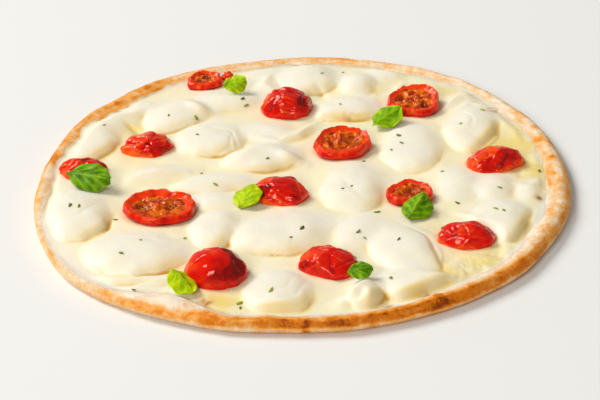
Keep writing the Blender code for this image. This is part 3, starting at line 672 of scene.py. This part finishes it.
def cheese_height(x, y):
    """The top of the cheese: a lumpy melted sheet with the mounds blended into it."""
    points = plan_points(x, y)
    warped_x = x + noises(points, (0.0026, 34, 1), (0.0008, 120, 2))
    warped_y = y + noises(points, (0.0026, 34, 3), (0.0008, 120, 4))
    z = sheet_height(x, y)
    away = ease(0.85, 1.4, nearest_tomato(x, y))
    inside = ease(-0.0010, 0.0060, cheese_radius(np.arctan2(y, x)) - np.hypot(x, y))
    for index, mound in enumerate(MOUNDS, 1):
        near = np.hypot(warped_x - mound.x, warped_y - mound.y) < 1.7 * SPREAD * mound.half_length
        dome, softness = mound_surface(mound, index, warped_x[near], warped_y[near])
        lifted = np.where(dome > 0, dome * away[near] * inside[near], dome)
        z[near] = soft_max(z[near], FOOT - 0.0003 + lifted, softness)
    for fold in FOLDS:
        z += fold.height * fold_strength(fold, warped_x, warped_y) * away * inside
    shreds = noise(points, 130, 21) + 0.5 * np.abs(noise(points, 330, 22))
    for tuft in TUFTS:
        there = np.exp(-((np.hypot(x - tuft.x, y - tuft.y) / tuft.radius) ** 2))
        z += tuft.height * there * shreds * away
    flow = noise(plan_points(x * 60 + 30 * y, y * 150 - 40 * x), 1.0, 23)
    return z + (0.00018 * flow + 0.00006 * noise(points, 400, 7)) * away


class Raster:
    """The cheese's top on a square grid, with its valleys, read at any point."""

    HALF = 0.150
    STEPS = 401
    VALLEY_WIDTH = 0.0030

    def __init__(self):
        axis = np.linspace(-self.HALF, self.HALF, self.STEPS)
        x, y = np.meshgrid(axis, axis)
        self.step = axis[1] - axis[0]
        self.top = cheese_height(x.ravel(), y.ravel()).reshape(x.shape)
        self.level = self.blurred(self.top, self.VALLEY_WIDTH)

    def blurred(self, field, radius):
        """The field averaged over about this radius, by three box blurs each way."""
        half = max(1, round(radius / self.step / 2))
        kernel = np.ones(2 * half + 1) / (2 * half + 1)

        def blur(line):
            return np.convolve(np.pad(line, half, "edge"), kernel, "valid")

        for axis in (0, 1) * 3:
            field = np.apply_along_axis(blur, axis, field)
        return field

    def read(self, field, x, y):
        column, row = (np.clip((value + self.HALF) / self.step, 0, self.STEPS - 1.001) for value in (x, y))
        c, r = column.astype(int), row.astype(int)
        low = blend((field[r, c], field[r, c + 1]), column - c)
        high = blend((field[r + 1, c], field[r + 1, c + 1]), column - c)
        return blend((low, high), row - r)


def disc_grid(side):
    """A square grid bent into a round one: angle and share of the radius at each point."""
    a, b = np.meshgrid(np.linspace(-1, 1, side), np.linspace(-1, 1, side))
    wide = np.abs(a) > np.abs(b)
    radius = np.where(wide, a, b)
    ratio = np.where(wide, b / np.where(wide, a, 1.0), a / np.where(wide | (b == 0), 1.0, b))
    angle = np.where(wide, pi / 4 * ratio, pi / 2 - pi / 4 * ratio)
    angle = np.where(radius < 0, angle + pi, angle)
    return angle.ravel(), np.abs(radius).ravel()


def grid_border(side):
    """The grid's outermost points, in order round it."""
    index = np.arange(side * side).reshape(side, side)
    return np.concatenate((index[0, :-1], index[:-1, -1], index[-1, :0:-1], index[:0:-1, 0])).tolist()


def cheese_edge(angle):
    """How far out the cheese runs on the dough: raggedly, least where the rim is wide and at the back."""
    width = rim_width(angle)
    ring = polar(1.0, angle, 0 * angle)
    thin_side = ease(0.0080, 0.0050, width)
    bare_side = np.maximum(ease(0.0110, 0.0140, width), ease(0.5, 0.9, np.sin(angle)))
    ragged = 0.24 + 0.22 * thin_side - 0.14 * bare_side + noises(ring, (0.20, 7, 12), (0.12, 22, 17))
    return cheese_radius(angle) + np.clip(ragged, 0.14 - 0.08 * bare_side, 0.48) * width


def cheese_marks(raster, angle, radius, z):
    """What the colour of the cheese follows, such as mounds, pools of fat and painted shade in valleys, at
    each point.
    """
    x, y = radius * np.cos(angle), radius * np.sin(angle)
    points = plan_points(x, y)
    valley = np.clip((raster.read(raster.level, x, y) - z) / 0.0009, 0.0, 1.0)
    dx, dy = SHADE_REACH * SHADED[0], SHADE_REACH * SHADED[1]
    above = raster.read(raster.top, x - dx, y - dy) - z
    below = z - raster.read(raster.top, x + dx, y + dy)
    lift = z - sheet_height(x, y)
    low = 1.0 - ease(0.0, 0.0030, lift)
    from_rim = cheese_radius(angle) - radius
    # painted shade: ochre in the valleys, most at the feet on the side turned from the light
    crease = valley * (0.04 + 1.1 * ease(0.0003, 0.0022, above)) * (0.85 + 0.6 * noise(points, 70, 13))
    bare = ease(0.35, 0.95, -np.cos(angle - radians(30))) * ease(0.0150, 0.0010, from_rim)
    bare = np.maximum(bare, ease(0.0040, -0.0010, from_rim + 0.002 * noise(points, 90, 19)))
    oil = near_patches(x, y, OILY_PATCHES) * (0.3 + 0.7 * low) * (1.0 + 0.6 * noise(points, 110, 14))
    scorch = near_patches(x, y, BROWN_SPOTS) * (0.9 + 1.2 * noise(points, 330, 15))
    # tomato juice and painted contact shade: an orange ring round each tomato
    juice_and_contact_shade = (0.7 + 0.5 * noise(points, 150, 16)) * (1.0 - ease(0.98, 1.12, nearest_tomato(x, y)))
    # white is lower in valleys and shaded yellows the sides turned from the light: both painted shade
    return {
        "white": ease(-0.0004, 0.0032, lift) - 0.4 * valley,
        "crease": np.clip(crease, 0.0, 1.0) * ease(0.0, 0.0060, from_rim),
        "shaded": ease(-0.0002, 0.0030, np.maximum(above, below)) * (1.0 + 0.4 * noise(points, 90, 20)),
        "bare": bare * (1.0 - ease(0.0003, 0.0022, lift)),
        "oil": np.clip(oil, 0.0, 1.0),
        "scorch": np.clip(scorch, 0.0, 1.0),
        "juice_and_contact_shade": np.clip(juice_and_contact_shade, 0.0, 1.0),
    }


def build_cheese(raster, finish):
    """The melted cheese, thick where the mounds are and running out on the dough in a ragged edge."""
    angle, share = disc_grid(CHEESE_GRID)
    edge = cheese_edge(angle)
    radius = share * edge
    x, y = radius * np.cos(angle), radius * np.sin(angle)
    z = cheese_height(x, y)
    dough = np.maximum(rim_height(angle, (radius - cheese_radius(angle)) / rim_width(angle)), SHEET_TOP)
    z += (dough + 0.00004 - z) * ease(-0.0050, 0.0, radius - edge)
    top = np.column_stack((x, y, z))
    border = grid_border(CHEESE_GRID)
    faces = grid_faces(CHEESE_GRID, CHEESE_GRID, wrap=False)
    under = top[border] * (0.97, 0.97, 0.0) + (0.0, 0.0, CHEESE_FOOT)
    start, middle = len(top), len(top) + len(border)
    ring = range(len(border))
    after = [(i + 1) % len(border) for i in ring]
    faces += [(border[i], start + i, start + after[i], border[after[i]]) for i in ring]
    faces += [(start + i, middle, start + after[i]) for i in ring]
    points = np.vstack((top, under, (0.0, 0.0, CHEESE_FOOT)))
    marks = cheese_marks(raster, angle, radius, z)
    marks = {key: np.append(values, np.zeros(len(border) + 1)) for key, values in marks.items()}
    nodes = ["cheese_sheet"] + [f"mozzarella_{index:02d}" for index in range(1, len(MOUNDS) + 1)]
    return new_piece("melted_cheese", points, faces, finish, nodes, marks, border)


# Tomatoes
TOMATO_SIDES, TOMATO_LEVELS = 120, 44
Skin = namedtuple("Skin", "facets nearest farthest sharpness depth tone")
# The flats of each dried skin: how many, how far they lie from the middle, how crisp and how deep they are;
# last, how light the whole skin is, and darker below 0
SKINS = {
    2: Skin(19, 0.88, 0.97, 150, 0.75, 0.16),
    4: Skin(22, 0.88, 0.97, 150, 0.85, 0.24),
    6: Skin(13, 0.86, 0.97, 240, 0.85, 0.28),
    7: Skin(20, 0.88, 0.97, 150, 0.8, 0.2),
    9: Skin(20, 0.88, 0.97, 150, 0.75, 0.14),
    11: Skin(11, 0.93, 0.99, 40, 0.42, -0.06),
    12: Skin(15, 0.88, 0.97, 200, 0.78, 0.12),
    13: Skin(24, 0.88, 0.97, 150, 0.75, 0.1),
    14: Skin(14, 0.86, 0.98, 130, 1.0, 0.4),
}
# Folds of each skin as the front shows them: hundredths, from -100 to 100 across and from the foot to the top
CREASES = {half: shares("u0 v0 u1 v1 width depth", rows) for half, rows in {
    2: (
        (-30, 78, 5, 28, 10, 7), (62, 75, 80, 10, 9, 10), (-60, 70, -86, 5, 12, 10),
        (-55, 5, -70, -60, 10, 9), (-10, -5, 45, -15, 12, 5),
    ),
    4: (
        (2, 30, -90, 30, 12, 12), (2, 30, 40, 92, 14, 13), (2, 30, 90, 60, 12, 10),
        (2, 30, 85, -25, 12, 9), (-5, 25, -38, -70, 12, 10), (10, 20, 27, -85, 10, 8),
    ),
    6: (
        (27, 88, 37, 45, 8, 8), (37, 45, -8, -40, 8, 9), (-30, 50, -85, -25, 10, 9),
        (18, -10, 2, -80, 8, 6), (-5, 60, -35, 10, 9, 6), (50, 20, 92, 15, 8, 4),
    ),
    7: ((-20, 70, -70, 10, 12, 12), (10, 80, 30, 20, 12, 10), (-50, 75, -95, 0, 12, 10)),
    9: (
        (-42, 75, -71, 10, 10, 9), (-4, 70, 40, 72, 10, 9), (40, 72, 76, 20, 10, 7),
        (-42, -12, -5, -60, 12, 10), (-30, 55, 5, 15, 10, 5),
    ),
    11: ((-30, 92, 10, 96, 7, 4), (10, 96, 40, 84, 7, 4), (58, 66, 95, 25, 7, 4), (70, 55, 98, 5, 6, 4)),
    12: (
        (-40, 55, -22, -80, 9, 10), (13, 62, 33, -40, 10, 9), (-57, 74, -45, 15, 9, 8),
        (-43, 82, 20, 80, 8, 7), (35, 10, 90, 50, 10, 8),
    ),
    13: (
        (-18, 90, 4, 53, 8, 7), (4, 53, 10, 10, 8, 8), (-55, 70, -32, 10, 8, 8),
        (-88, 50, -42, 10, 9, 8), (-80, -5, -20, 25, 9, 8), (0, 18, 46, 30, 7, 5),
    ),
}.items()}
FOLD_DEPTH, FOLD_WIDTH = 0.75, 0.6  # shares of the depths and widths above that the folds keep
SIGHT = radians(30)  # how steeply the front view looks down on the folds
GOLDEN_TURN = pi * (3.0 - sqrt(5.0))  # from one flat to the next


def groove(u, v, crease):
    """1 along the fold's line, fading to 0 at its width."""
    du, dv = crease.u1 - crease.u0, crease.v1 - crease.v0
    share = np.clip(((u - crease.u0) * du + (v - crease.v0) * dv) / (du * du + dv * dv), 0.0, 1.0)
    distance = np.hypot(u - crease.u0 - share * du, v - crease.v0 - share * dv)
    fade = np.sin(np.clip(0.1 + 0.9 * share, 0.0, 1.0) * pi) ** 0.5
    return np.exp(-((distance / (FOLD_WIDTH * crease.width)) ** 2)) * (0.4 + 0.6 * fade)


def tomato_grid():
    """Each point's level, from 0 at the top to 1 at the foot, and its angle round the half."""
    level, side = np.meshgrid(np.linspace(0, 1, TOMATO_LEVELS), np.arange(TOMATO_SIDES), indexing="ij")
    return level.ravel(), side.ravel() / TOMATO_SIDES * tau


def crumple(direction, index):
    """The dried skin's distance from the middle, flat between crisp edges, and a tone for each flat: painted
    shade, with painted highlights on the edges.
    """
    skin = SKINS[index]
    random = np.random.default_rng(200 + index)
    warp = np.column_stack([noise(direction, 2.6, index + seed) for seed in (101, 102, 103)])
    bent = direction + 0.10 * warp
    away = np.zeros((skin.facets, len(direction)))
    for number in range(skin.facets):
        rise = 1.02 * (number + 0.5) / skin.facets - 0.06
        around = number * GOLDEN_TURN + random.uniform(-0.5, 0.5)
        out = sqrt(max(0.0, 1.0 - rise * rise))
        normal = np.array((out * cos(around), out * sin(around), rise))
        away[number] = random.uniform(skin.nearest, skin.farthest) / np.maximum(0.3, bent @ normal)
    nearest, second = np.partition(away, 1, axis=0)[:2]
    radius = nearest - np.log(np.exp(-skin.sharpness * (away - nearest)).sum(axis=0)) / skin.sharpness
    radius = 1.0 + skin.depth * (np.minimum(radius, 1.06) - 1.0)
    edge = np.exp(-(((second - nearest) / 0.016) ** 2))
    # painted light: a random light or dark tone per flat, as if lit differently, and a painted highlight
    # along the edges between flats
    tone = skin.depth * (random.uniform(-0.52, 0.28, skin.facets)[away.argmin(axis=0)] + 0.38 * edge)
    return radius - skin.depth * 0.012 * np.abs(noise(bent, 7.0, index + 104)), tone


def dome_shape(tomato, index):
    """A half with its skin up: sunken flats and folds, with light and dark skin, partly painted shade and
    highlights.
    """
    level, around = tomato_grid()
    rise = (1.0 - level) * pi / 2
    direction = polar(np.cos(rise), around, np.sin(rise))
    deep_seen, high_seen = tomato.depth / 2 * sin(SIGHT), tomato.height * cos(SIGHT)
    seen = direction[:, 1] * deep_seen + direction[:, 2] * high_seen
    u = direction[:, 0]
    v = seen / np.where(seen > 0, hypot(deep_seen, high_seen), deep_seen)
    low = ease(0.70, 1.0, level)
    radius, tone = crumple(direction, index)
    folds = np.zeros_like(u)
    for crease in CREASES.get(index, ()):
        folds += FOLD_DEPTH * crease.depth * groove(u, v, crease)
    swell = noises(direction, (0.025, 1.7, index), (0.008, 6.0, index + 40))
    pucker = 0.035 * noise(direction * (1, 1, 0), 4.5, index + 60) * low
    scale = 1.03 * radius - np.minimum(folds, 0.2) + swell + pucker
    shape = direction * (scale * (1.0 - 0.05 * ease(0.86, 1.0, level)))[:, None]
    # painted shade: darker in the folds and towards the right side; lighter towards the foot
    light = SKINS[index].tone + 0.35 + 0.40 * noise(direction, 1.4, index + 80) + tone - 2.4 * folds
    light += 0.25 * low - 0.2 * u
    return shape, {"light": light} | {key: np.zeros_like(u) for key in ("flesh", "pulp", "deep", "seed")}


# Hollows and, below zero, walls in the pulp, in hundredths of the half's radius and height
CHAMBERS = {half: shares("x y half_length half_width depth", rows) for half, rows in {
    1: ((10, 15, 26, 20, 40), (-25, -10, 22, 18, 25)),
    3: (
        (44, -34, 16, 24, 44), (-44, 10, 12, 30, 30), (20, 30, 14, 16, 22), (-10, -20, 18, 10, 20),
        (2, 10, 22, 10, -14),
    ),
    5: ((-36, -10, 16, 30, 22), (34, 2, 26, 34, 24), (-8, 24, 5, 30, -24), (-2, -40, 30, 8, 16)),
    8: ((-42, -6, 22, 28, 40), (36, -10, 22, 22, 32), (26, 22, 38, 6, -22), (-4, -10, 10, 30, -16)),
    10: ((5, 10, 40, 30, 30),),
}.items()}
CutFace = namedtuple("CutFace", "pulp_length pulp_width shift reaches")
# How far the pulp reaches along, across and further back, and the outline every 30 degrees
CUT_FACES = {
    1: CutFace(0.60, 0.56, 0.10, (0.90, 0.98, 0.84, 1.00, 0.90, 1.00, 1.00, 1.14, 0.98, 0.94, 0.98, 1.00)),
    3: CutFace(0.72, 0.76, 0.02, (0.92, 1.03, 1.04, 0.96, 1.00, 0.95, 1.00, 0.98, 0.98, 0.96, 1.06, 1.08)),
    5: CutFace(0.74, 0.70, 0.12, (0.98, 1.04, 0.96, 1.02, 0.96, 0.92, 1.00, 1.04, 1.02, 0.97, 1.02, 0.92)),
    8: CutFace(0.74, 0.60, -0.24, (1.02, 1.02, 0.90, 1.02, 0.96, 0.97, 1.02, 0.95, 0.97, 1.00, 1.00, 1.04)),
    10: CutFace(0.70, 0.62, 0.10, (1.00, 0.94, 0.98, 1.04, 0.94, 1.00, 1.04, 0.98, 0.94, 1.00, 0.98, 1.02)),
}
SEEDS = {  # seeds that show in the pulp, in shares of the half's radius
    3: ((-0.30, 0.30), (0.15, -0.35), (-0.05, 0.15)),
    8: ((-0.44, -0.04), (0.33, 0.02), (-0.20, 0.28)),
}
SEED_RADIUS = 0.0011
CUT_LEAN = 0.40  # how much lower the front of a cut face lies than its back, as a share of the height
CUT_LEVELS = (0.0, 0.42, 0.56, 0.70, 0.82, 0.92, 1.0)  # from the middle of the pulp over the rim to the foot
CUT_HEIGHTS = (0.82, 0.80, 0.86, 1.0, 0.80, 0.42, 0.0)


def cut_profile(level, pulp_share):
    """How far out and how high a cut half's surface is at each level, before its rim is made uneven."""
    crest = (1.0 + pulp_share) / 2 + 0.03
    outs = (0.0, pulp_share * 0.95, pulp_share * 1.03, crest, 0.95, 1.0, 0.92)
    out, height = np.zeros_like(level), np.zeros_like(level)
    for number, (start, end) in enumerate(zip(CUT_LEVELS, CUT_LEVELS[1:])):
        inside = (level >= start) & (level <= end)
        share = (level - start) / (end - start)
        out = np.where(inside, blend(outs[number:], share), out)
        height = np.where(inside, blend(CUT_HEIGHTS[number:], ease(-0.15, 1.15, share)), height)
    return out, height


def cut_shape(tomato, index):
    """A half with its cut side up: a rolled rim of flesh round the pulp."""
    face = CUT_FACES[index]
    level, around = tomato_grid()
    ring = polar(1.0, around, 0 * around)
    pulp_share = 1.0 / np.hypot(np.cos(around) / face.pulp_length, np.sin(around) / face.pulp_width)
    pulp_share = pulp_share * (1.0 + noises(ring, (0.13, 2.2, index + 30), (0.07, 6.0, index + 31)))
    pulp_share = pulp_share * (1.0 + face.shift * np.sin(around))
    out, height = cut_profile(level, pulp_share)
    pleats = (ridges(ring, 2.4, index + 22, 1.2) - 0.4) * ease(-0.15, 0.35, noise(ring, 1.1, index + 23))
    upper = ease(0.94, 0.76, level)
    pulp = ease(0.50, 0.43, level)
    rim = ease(0.48, 0.70, level) * ease(1.0, 0.9, level)
    uneven = noises(ring, (0.07, 2.2, index + 20), (0.03, 7.0, index + 21)) + 0.06 * pleats * upper
    outline = round_the_rim(around, face.reaches) + uneven * rim
    x, y = out * outline * np.cos(around), out * outline * np.sin(around)
    flat = plan_points(x, y)
    height = height * (1.0 + (0.16 * noise(ring, 1.6, index + 50) + 0.12 * pleats) * rim)
    height += pulp * noises(flat, (0.16, 4.0, index + 70), (0.07, 11.0, index + 75))
    height += rim * noises(flat, (0.05, 8.0, index + 90), (0.025, 20.0, index + 91))
    deep, wall, seed = np.zeros_like(x), np.zeros_like(x), np.zeros_like(x)
    for chamber in CHAMBERS[index]:
        reach = np.hypot((x - chamber.x) / chamber.half_length, (y - chamber.y) / chamber.half_width)
        hollow = chamber.depth * (1.0 - ease(0.4, 1.1, reach)) * pulp
        height -= hollow
        # painted shade: the pulp darker where its hollows are deeper
        deep = np.maximum(deep, 2.4 * hollow)
        wall = np.maximum(wall, -3.0 * hollow)
    height = height * (1.0 - CUT_LEAN * ease(1.0, -1.0, y))
    # painted light: lighter on the rim's raised pleats and darker between them
    light = 0.62 + 0.6 * noise(flat, 3.0, index + 95) + 0.6 * pleats * upper - 0.5 * ease(0.86, 1.0, level)
    light += 0.5 * wall - 0.35 * ridges(ring, 5.0, index + 24, 2.6) * rim * upper
    pulp = pulp * (1.0 - 0.6 * np.clip(wall, 0.0, 1.0))
    flesh = ease(0.86, 0.72, level) * (1.0 - 0.5 * np.clip(noise(ring, 3.0, index + 97), 0, 1))
    deep = np.clip(deep * (0.8 + 0.8 * noise(flat, 9.0, index + 98)), 0.0, 0.9)
    for seed_x, seed_y in SEEDS.get(index, ()):
        away = np.hypot((x - seed_x) * tomato.width / 2, (y - seed_y) * tomato.depth / 2) / SEED_RADIUS
        deep = np.maximum(deep, 0.7 * ease(0.65, 0.35, away))
        seed = np.maximum(seed, ease(1.3, 0.6, away)) * ease(0.35, 0.65, away)
    height += 0.05 * seed
    attributes = {"light": light, "flesh": flesh, "pulp": pulp, "deep": deep, "seed": seed}
    return plan_points(x, y) + np.outer(np.maximum(height, 0.0), (0, 0, 1)), attributes


def build_tomato(index, tomato, finish):
    """One roasted half, standing a little in the cheese."""
    shape, attributes = (cut_shape if tomato.cut_side_up else dome_shape)(tomato, index)
    x, y = turned(shape[:, 0] * tomato.width / 2, shape[:, 1] * tomato.depth / 2, -tomato.turn)
    body = np.column_stack((tomato.x + x, tomato.y + y, FOOT + shape[:, 2] * tomato.height))
    foot = body[-TOMATO_SIDES:] * (1, 1, 0) + (0, 0, FOOT - SUNK)
    points = np.vstack((body, foot))
    faces = grid_faces(TOMATO_LEVELS + 1, TOMATO_SIDES, wrap=True)
    faces.append(list(range(len(body), len(points)))[::-1])
    faces = [face[::-1] for face in faces]
    attributes = {key: np.append(values, values[-TOMATO_SIDES:]) for key, values in attributes.items()}
    node = f"tomato_{index:02d}"
    merge_pole(new_piece(f"roasted_{node}", points, faces, finish, [node], attributes))


def merge_pole(piece):
    """Joins the points that lie on one another at a half's top."""
    bm = bmesh.new()
    bm.from_mesh(piece.data)
    bmesh.ops.remove_doubles(bm, verts=bm.verts, dist=1e-6)
    bmesh.ops.recalc_face_normals(bm, faces=bm.faces)
    bm.to_mesh(piece.data)
    bm.free()


# Basil
LEAF_ROWS, LEAF_COLUMNS = 56, 40
YOUNG = (0.72, 0.45, 0.14, 0.84, 0.20, 0.88, 0.14)  # how yellow each leaf is, from 0 to 1
# Edges that curl up or, below zero, droop: how far, and which way they lie from the leaf's middle
LIPS = {leaf: table("height", "along across", rows) for leaf, rows in {
    1: ((1.6, -0.9, 0.5), (1.8, 0.8, 0.7), (-1.6, 0.3, -1.0)),
    2: ((2, 0.3, -1.0), (1.2, -1.0, -0.2), (1.2, 0.9, 0.4)),
    3: ((-2.2, 0.7, -0.8),),
    4: ((0.8, -0.8, 0.6),),
    6: ((1.8, 0.2, 1.0), (1.2, 1.0, 0.1)),
}.items()}


def leaf_grid(rows, columns):
    """Each point's place along the leaf, from -1 at the stalk to 1 at the tip, and across it."""
    along, across = np.meshgrid(np.linspace(-1, 1, rows), np.linspace(-1, 1, columns), indexing="ij")
    return along.ravel(), across.ravel()


def leaf_surface(leaf, along, across):
    """Points of the leaf, folded along its midrib and curled, before it is turned."""
    narrowing = np.maximum(0.05, 1.0 - np.abs(along - 0.08) ** 2.3) ** 0.75
    narrowing = narrowing * (1.0 - 0.35 * ease(0.55, 1.0, np.abs(along)))
    side = across * narrowing * leaf.width / 2
    fold, curl = radians(leaf.fold), radians(leaf.curl)
    bend = curl / leaf.length
    angle = along * leaf.length / 2 * bend
    wave = 0.0004 * np.sin(along * 9.0) * np.abs(across)
    z = -(1.0 - np.cos(angle)) / bend - np.abs(side) * sin(fold) + wave
    return np.column_stack((np.sin(angle) / bend, side * cos(fold), z))


def build_leaf(index, leaf, finish):
    """A basil leaf with a sunken midrib, side veins and blistered skin between them."""
    along, across = leaf_grid(LEAF_ROWS, LEAF_COLUMNS)
    aside = np.abs(across)
    spread = plan_points(along, across)
    midrib = np.exp(-((across / 0.05) ** 2)) * ease(1.05, 0.5, along)
    phase = (along * 0.5 + 0.5 - 0.42 * aside**0.8) * 4.0 + 0.4 * np.sign(across)
    phase += 0.35 * noise(spread, 1.6, index + 30)
    apart = np.abs(phase - np.round(phase))
    veins = np.exp(-((apart / 0.06) ** 2)) * ease(0.95, 0.6, aside) * ease(0.02, 0.12, aside)
    raised = 0.00045 * (1.0 - midrib) * (1.0 - 0.8 * veins) * ease(1.05, 0.6, aside) - 0.00030
    pale = np.zeros_like(along)
    for lip in LIPS.get(index, ()):
        facing = (along * lip.along + across * lip.across) / hypot(lip.along, lip.across)
        raised += lip.height * ease(0.45, 1.1, facing)
        if lip.height > 0:
            pale = np.maximum(pale, ease(0.80, 1.0, facing))
    raised += 0.00030 * noise(spread, 2.5, index)
    turn = np.array(Euler([radians(a) for a in (leaf.roll, -leaf.pitch, leaf.heading)], "XYZ").to_matrix())
    surface = leaf_surface(leaf, along, across) + np.outer(raised, (0, 0, 1))
    points = surface @ turn.T + (leaf.x, leaf.y, 0.0)
    coarse = leaf_surface(leaf, *leaf_grid(8, 6)) @ turn.T
    node = f"basil_{index:02d}"
    low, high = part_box(node)
    points[:, 2] += (low.z + high.z) / 2 - (coarse[:, 2].min() + coarse[:, 2].max()) / 2
    young = YOUNG[index - 1] + 0.25 * aside + 0.2 * noise(points, 160, index) + 0.3 * pale
    young -= 0.20 * ease(0.12, 0.4, apart) * ease(0.05, 0.2, aside)
    attributes = {"vein": np.clip(0.8 * midrib + 0.7 * veins + 0.8 * pale, 0.0, 1.0), "young": young}
    faces = grid_faces(LEAF_ROWS, LEAF_COLUMNS, wrap=False)
    piece = new_piece(f"leaf_{node}", points, faces, finish, [node], attributes)
    solidify = piece.modifiers.new("Thickness", "SOLIDIFY")
    solidify.thickness = LEAF_THICKNESS
    solidify.offset = 0.0


# Herb flakes
FLAKE_SIDES = 7
FLAKE_TILT = 0.22
FLAKE_GAP = 0.0003
HALF_FLAKE = 0.00016  # half a flake's thickness


def build_flakes(raster, finish):
    """All the chips of dried herb, each a small curled plate, as one joined mesh."""
    random = np.random.default_rng(23)
    points, faces, tones = [], [], []
    for flake in FLAKES:
        tilts = (random.normal(0, FLAKE_TILT), random.normal(0, FLAKE_TILT), radians(flake.turn))
        tilt = Euler(tilts, "XYZ").to_matrix()
        height = raster.read(raster.top, np.array([flake.x]), np.array([flake.y]))[0]
        base = Vector((flake.x, flake.y, height + FLAKE_GAP))
        tone = random.uniform(0.0, 0.75)
        start = len(points)
        for lift in (HALF_FLAKE, -HALF_FLAKE):
            for corner in range(FLAKE_SIDES):
                angle = corner / FLAKE_SIDES * tau
                reach = 1.15 * flake.length / 2 * random.uniform(0.55, 1.15)
                u, v = reach * cos(angle), 0.48 * reach * sin(angle)
                curl = 0.10 * u * u / flake.length
                points.append(base + tilt @ Vector((u, v, lift + curl)))
                tones.append(tone)
        top = list(range(start, start + FLAKE_SIDES))
        bottom = list(range(start + FLAKE_SIDES, start + 2 * FLAKE_SIDES))
        faces += [top, bottom[::-1]]
        for i in range(FLAKE_SIDES):
            after = (i + 1) % FLAKE_SIDES
            faces.append((top[i], bottom[i], bottom[after], top[after]))
    new_piece("herb_flakes", points, faces, finish, ["cheese_sheet"], {"tone": tones})


# Light, floor and camera
FLOOR_SIZE = 6.0  # from the middle to each side
FLOOR_DROP = 0.0002  # how far the floor lies under the pizza
CAMERA_ELEVATION = radians(30.1)
CAMERA_ROLL = radians(-2.03)
CAMERA_DISTANCE = 1.4
CAMERA_TARGET = Vector((-0.0005, -0.0099, 0.0))
CAMERA_LENS = 151.6  # millimetres, as the next
SENSOR_WIDTH = 36.0
DAYLIGHT = (1.0, 0.985, 0.95)
DAYLIGHT_STRENGTH = 0.29


def build_floor():
    mesh = bpy.data.meshes.new("floor")
    corners = [(x * FLOOR_SIZE, y * FLOOR_SIZE, 0) for x, y in ((-1, -1), (1, -1), (1, 1), (-1, 1))]
    mesh.from_pydata(corners, [], [(0, 1, 2, 3)])
    floor = bpy.data.objects.new("floor", mesh)
    bpy.context.scene.collection.objects.link(floor)
    floor.location.z = -FLOOR_DROP
    finish = Finish("pale_floor", Roughness=0.8)
    colour = finish.mix(finish.noise(3.0), (236, 236, 234), (240, 240, 238))
    finish.put(colour, finish.shader.inputs["Base Color"])
    mesh.materials.append(finish.material)


def area_light(name, place, size, power, colour):
    """A round light that faces the pizza."""
    light = bpy.data.lights.new(name, "AREA")
    light.energy = power
    light.color = colour
    light.shape = "DISK"
    light.size = size
    made = bpy.data.objects.new(name, light)
    made.location = place
    made.rotation_euler = (-Vector(place)).to_track_quat("-Z", "Y").to_euler()
    bpy.context.scene.collection.objects.link(made)


def build_lights():
    world = bpy.data.worlds.new("studio")
    world.use_nodes = True
    background = world.node_tree.nodes["Background"]
    background.inputs["Color"].default_value = (*DAYLIGHT, 1.0)
    background.inputs["Strength"].default_value = DAYLIGHT_STRENGTH
    bpy.context.scene.world = world
    area_light("key", (-2.85, 1.50, 3.30), 2.4, 166.0, DAYLIGHT)
    area_light("window", (-1.8, -3.6, 2.6), 1.8, 88.0, (1.0, 0.99, 0.97))
    bpy.context.scene.view_settings.view_transform = "Standard"


def build_camera():
    """In front of the pizza, 30 degrees above the table, very slightly rolled."""
    e, r = CAMERA_ELEVATION, CAMERA_ROLL
    back = Vector((0.0, -cos(e), sin(e)))
    right, up = Vector((1.0, 0.0, 0.0)), Vector((0.0, sin(e), cos(e)))
    data = bpy.data.cameras.new("camera")
    data.lens = CAMERA_LENS
    data.sensor_width = SENSOR_WIDTH
    camera = bpy.data.objects.new("camera", data)
    axes = (right * cos(r) + up * sin(r), up * cos(r) - right * sin(r), back)
    matrix = Matrix(axes).transposed().to_4x4()
    matrix.translation = CAMERA_TARGET + back * CAMERA_DISTANCE
    camera.matrix_world = matrix
    bpy.context.scene.collection.objects.link(camera)
    bpy.context.scene.camera = camera


def main():
    raster = Raster()
    build_crust(crust_finish())
    build_cheese(raster, cheese_finish())
    skin = tomato_finish()
    for index, tomato in enumerate(TOMATOES, 1):
        build_tomato(index, tomato, skin)
    green = leaf_finish()
    for index, leaf in enumerate(LEAVES, 1):
        build_leaf(index, leaf, green)
    build_flakes(raster, herb_finish())
    build_floor()
    build_lights()
    build_camera()


main()
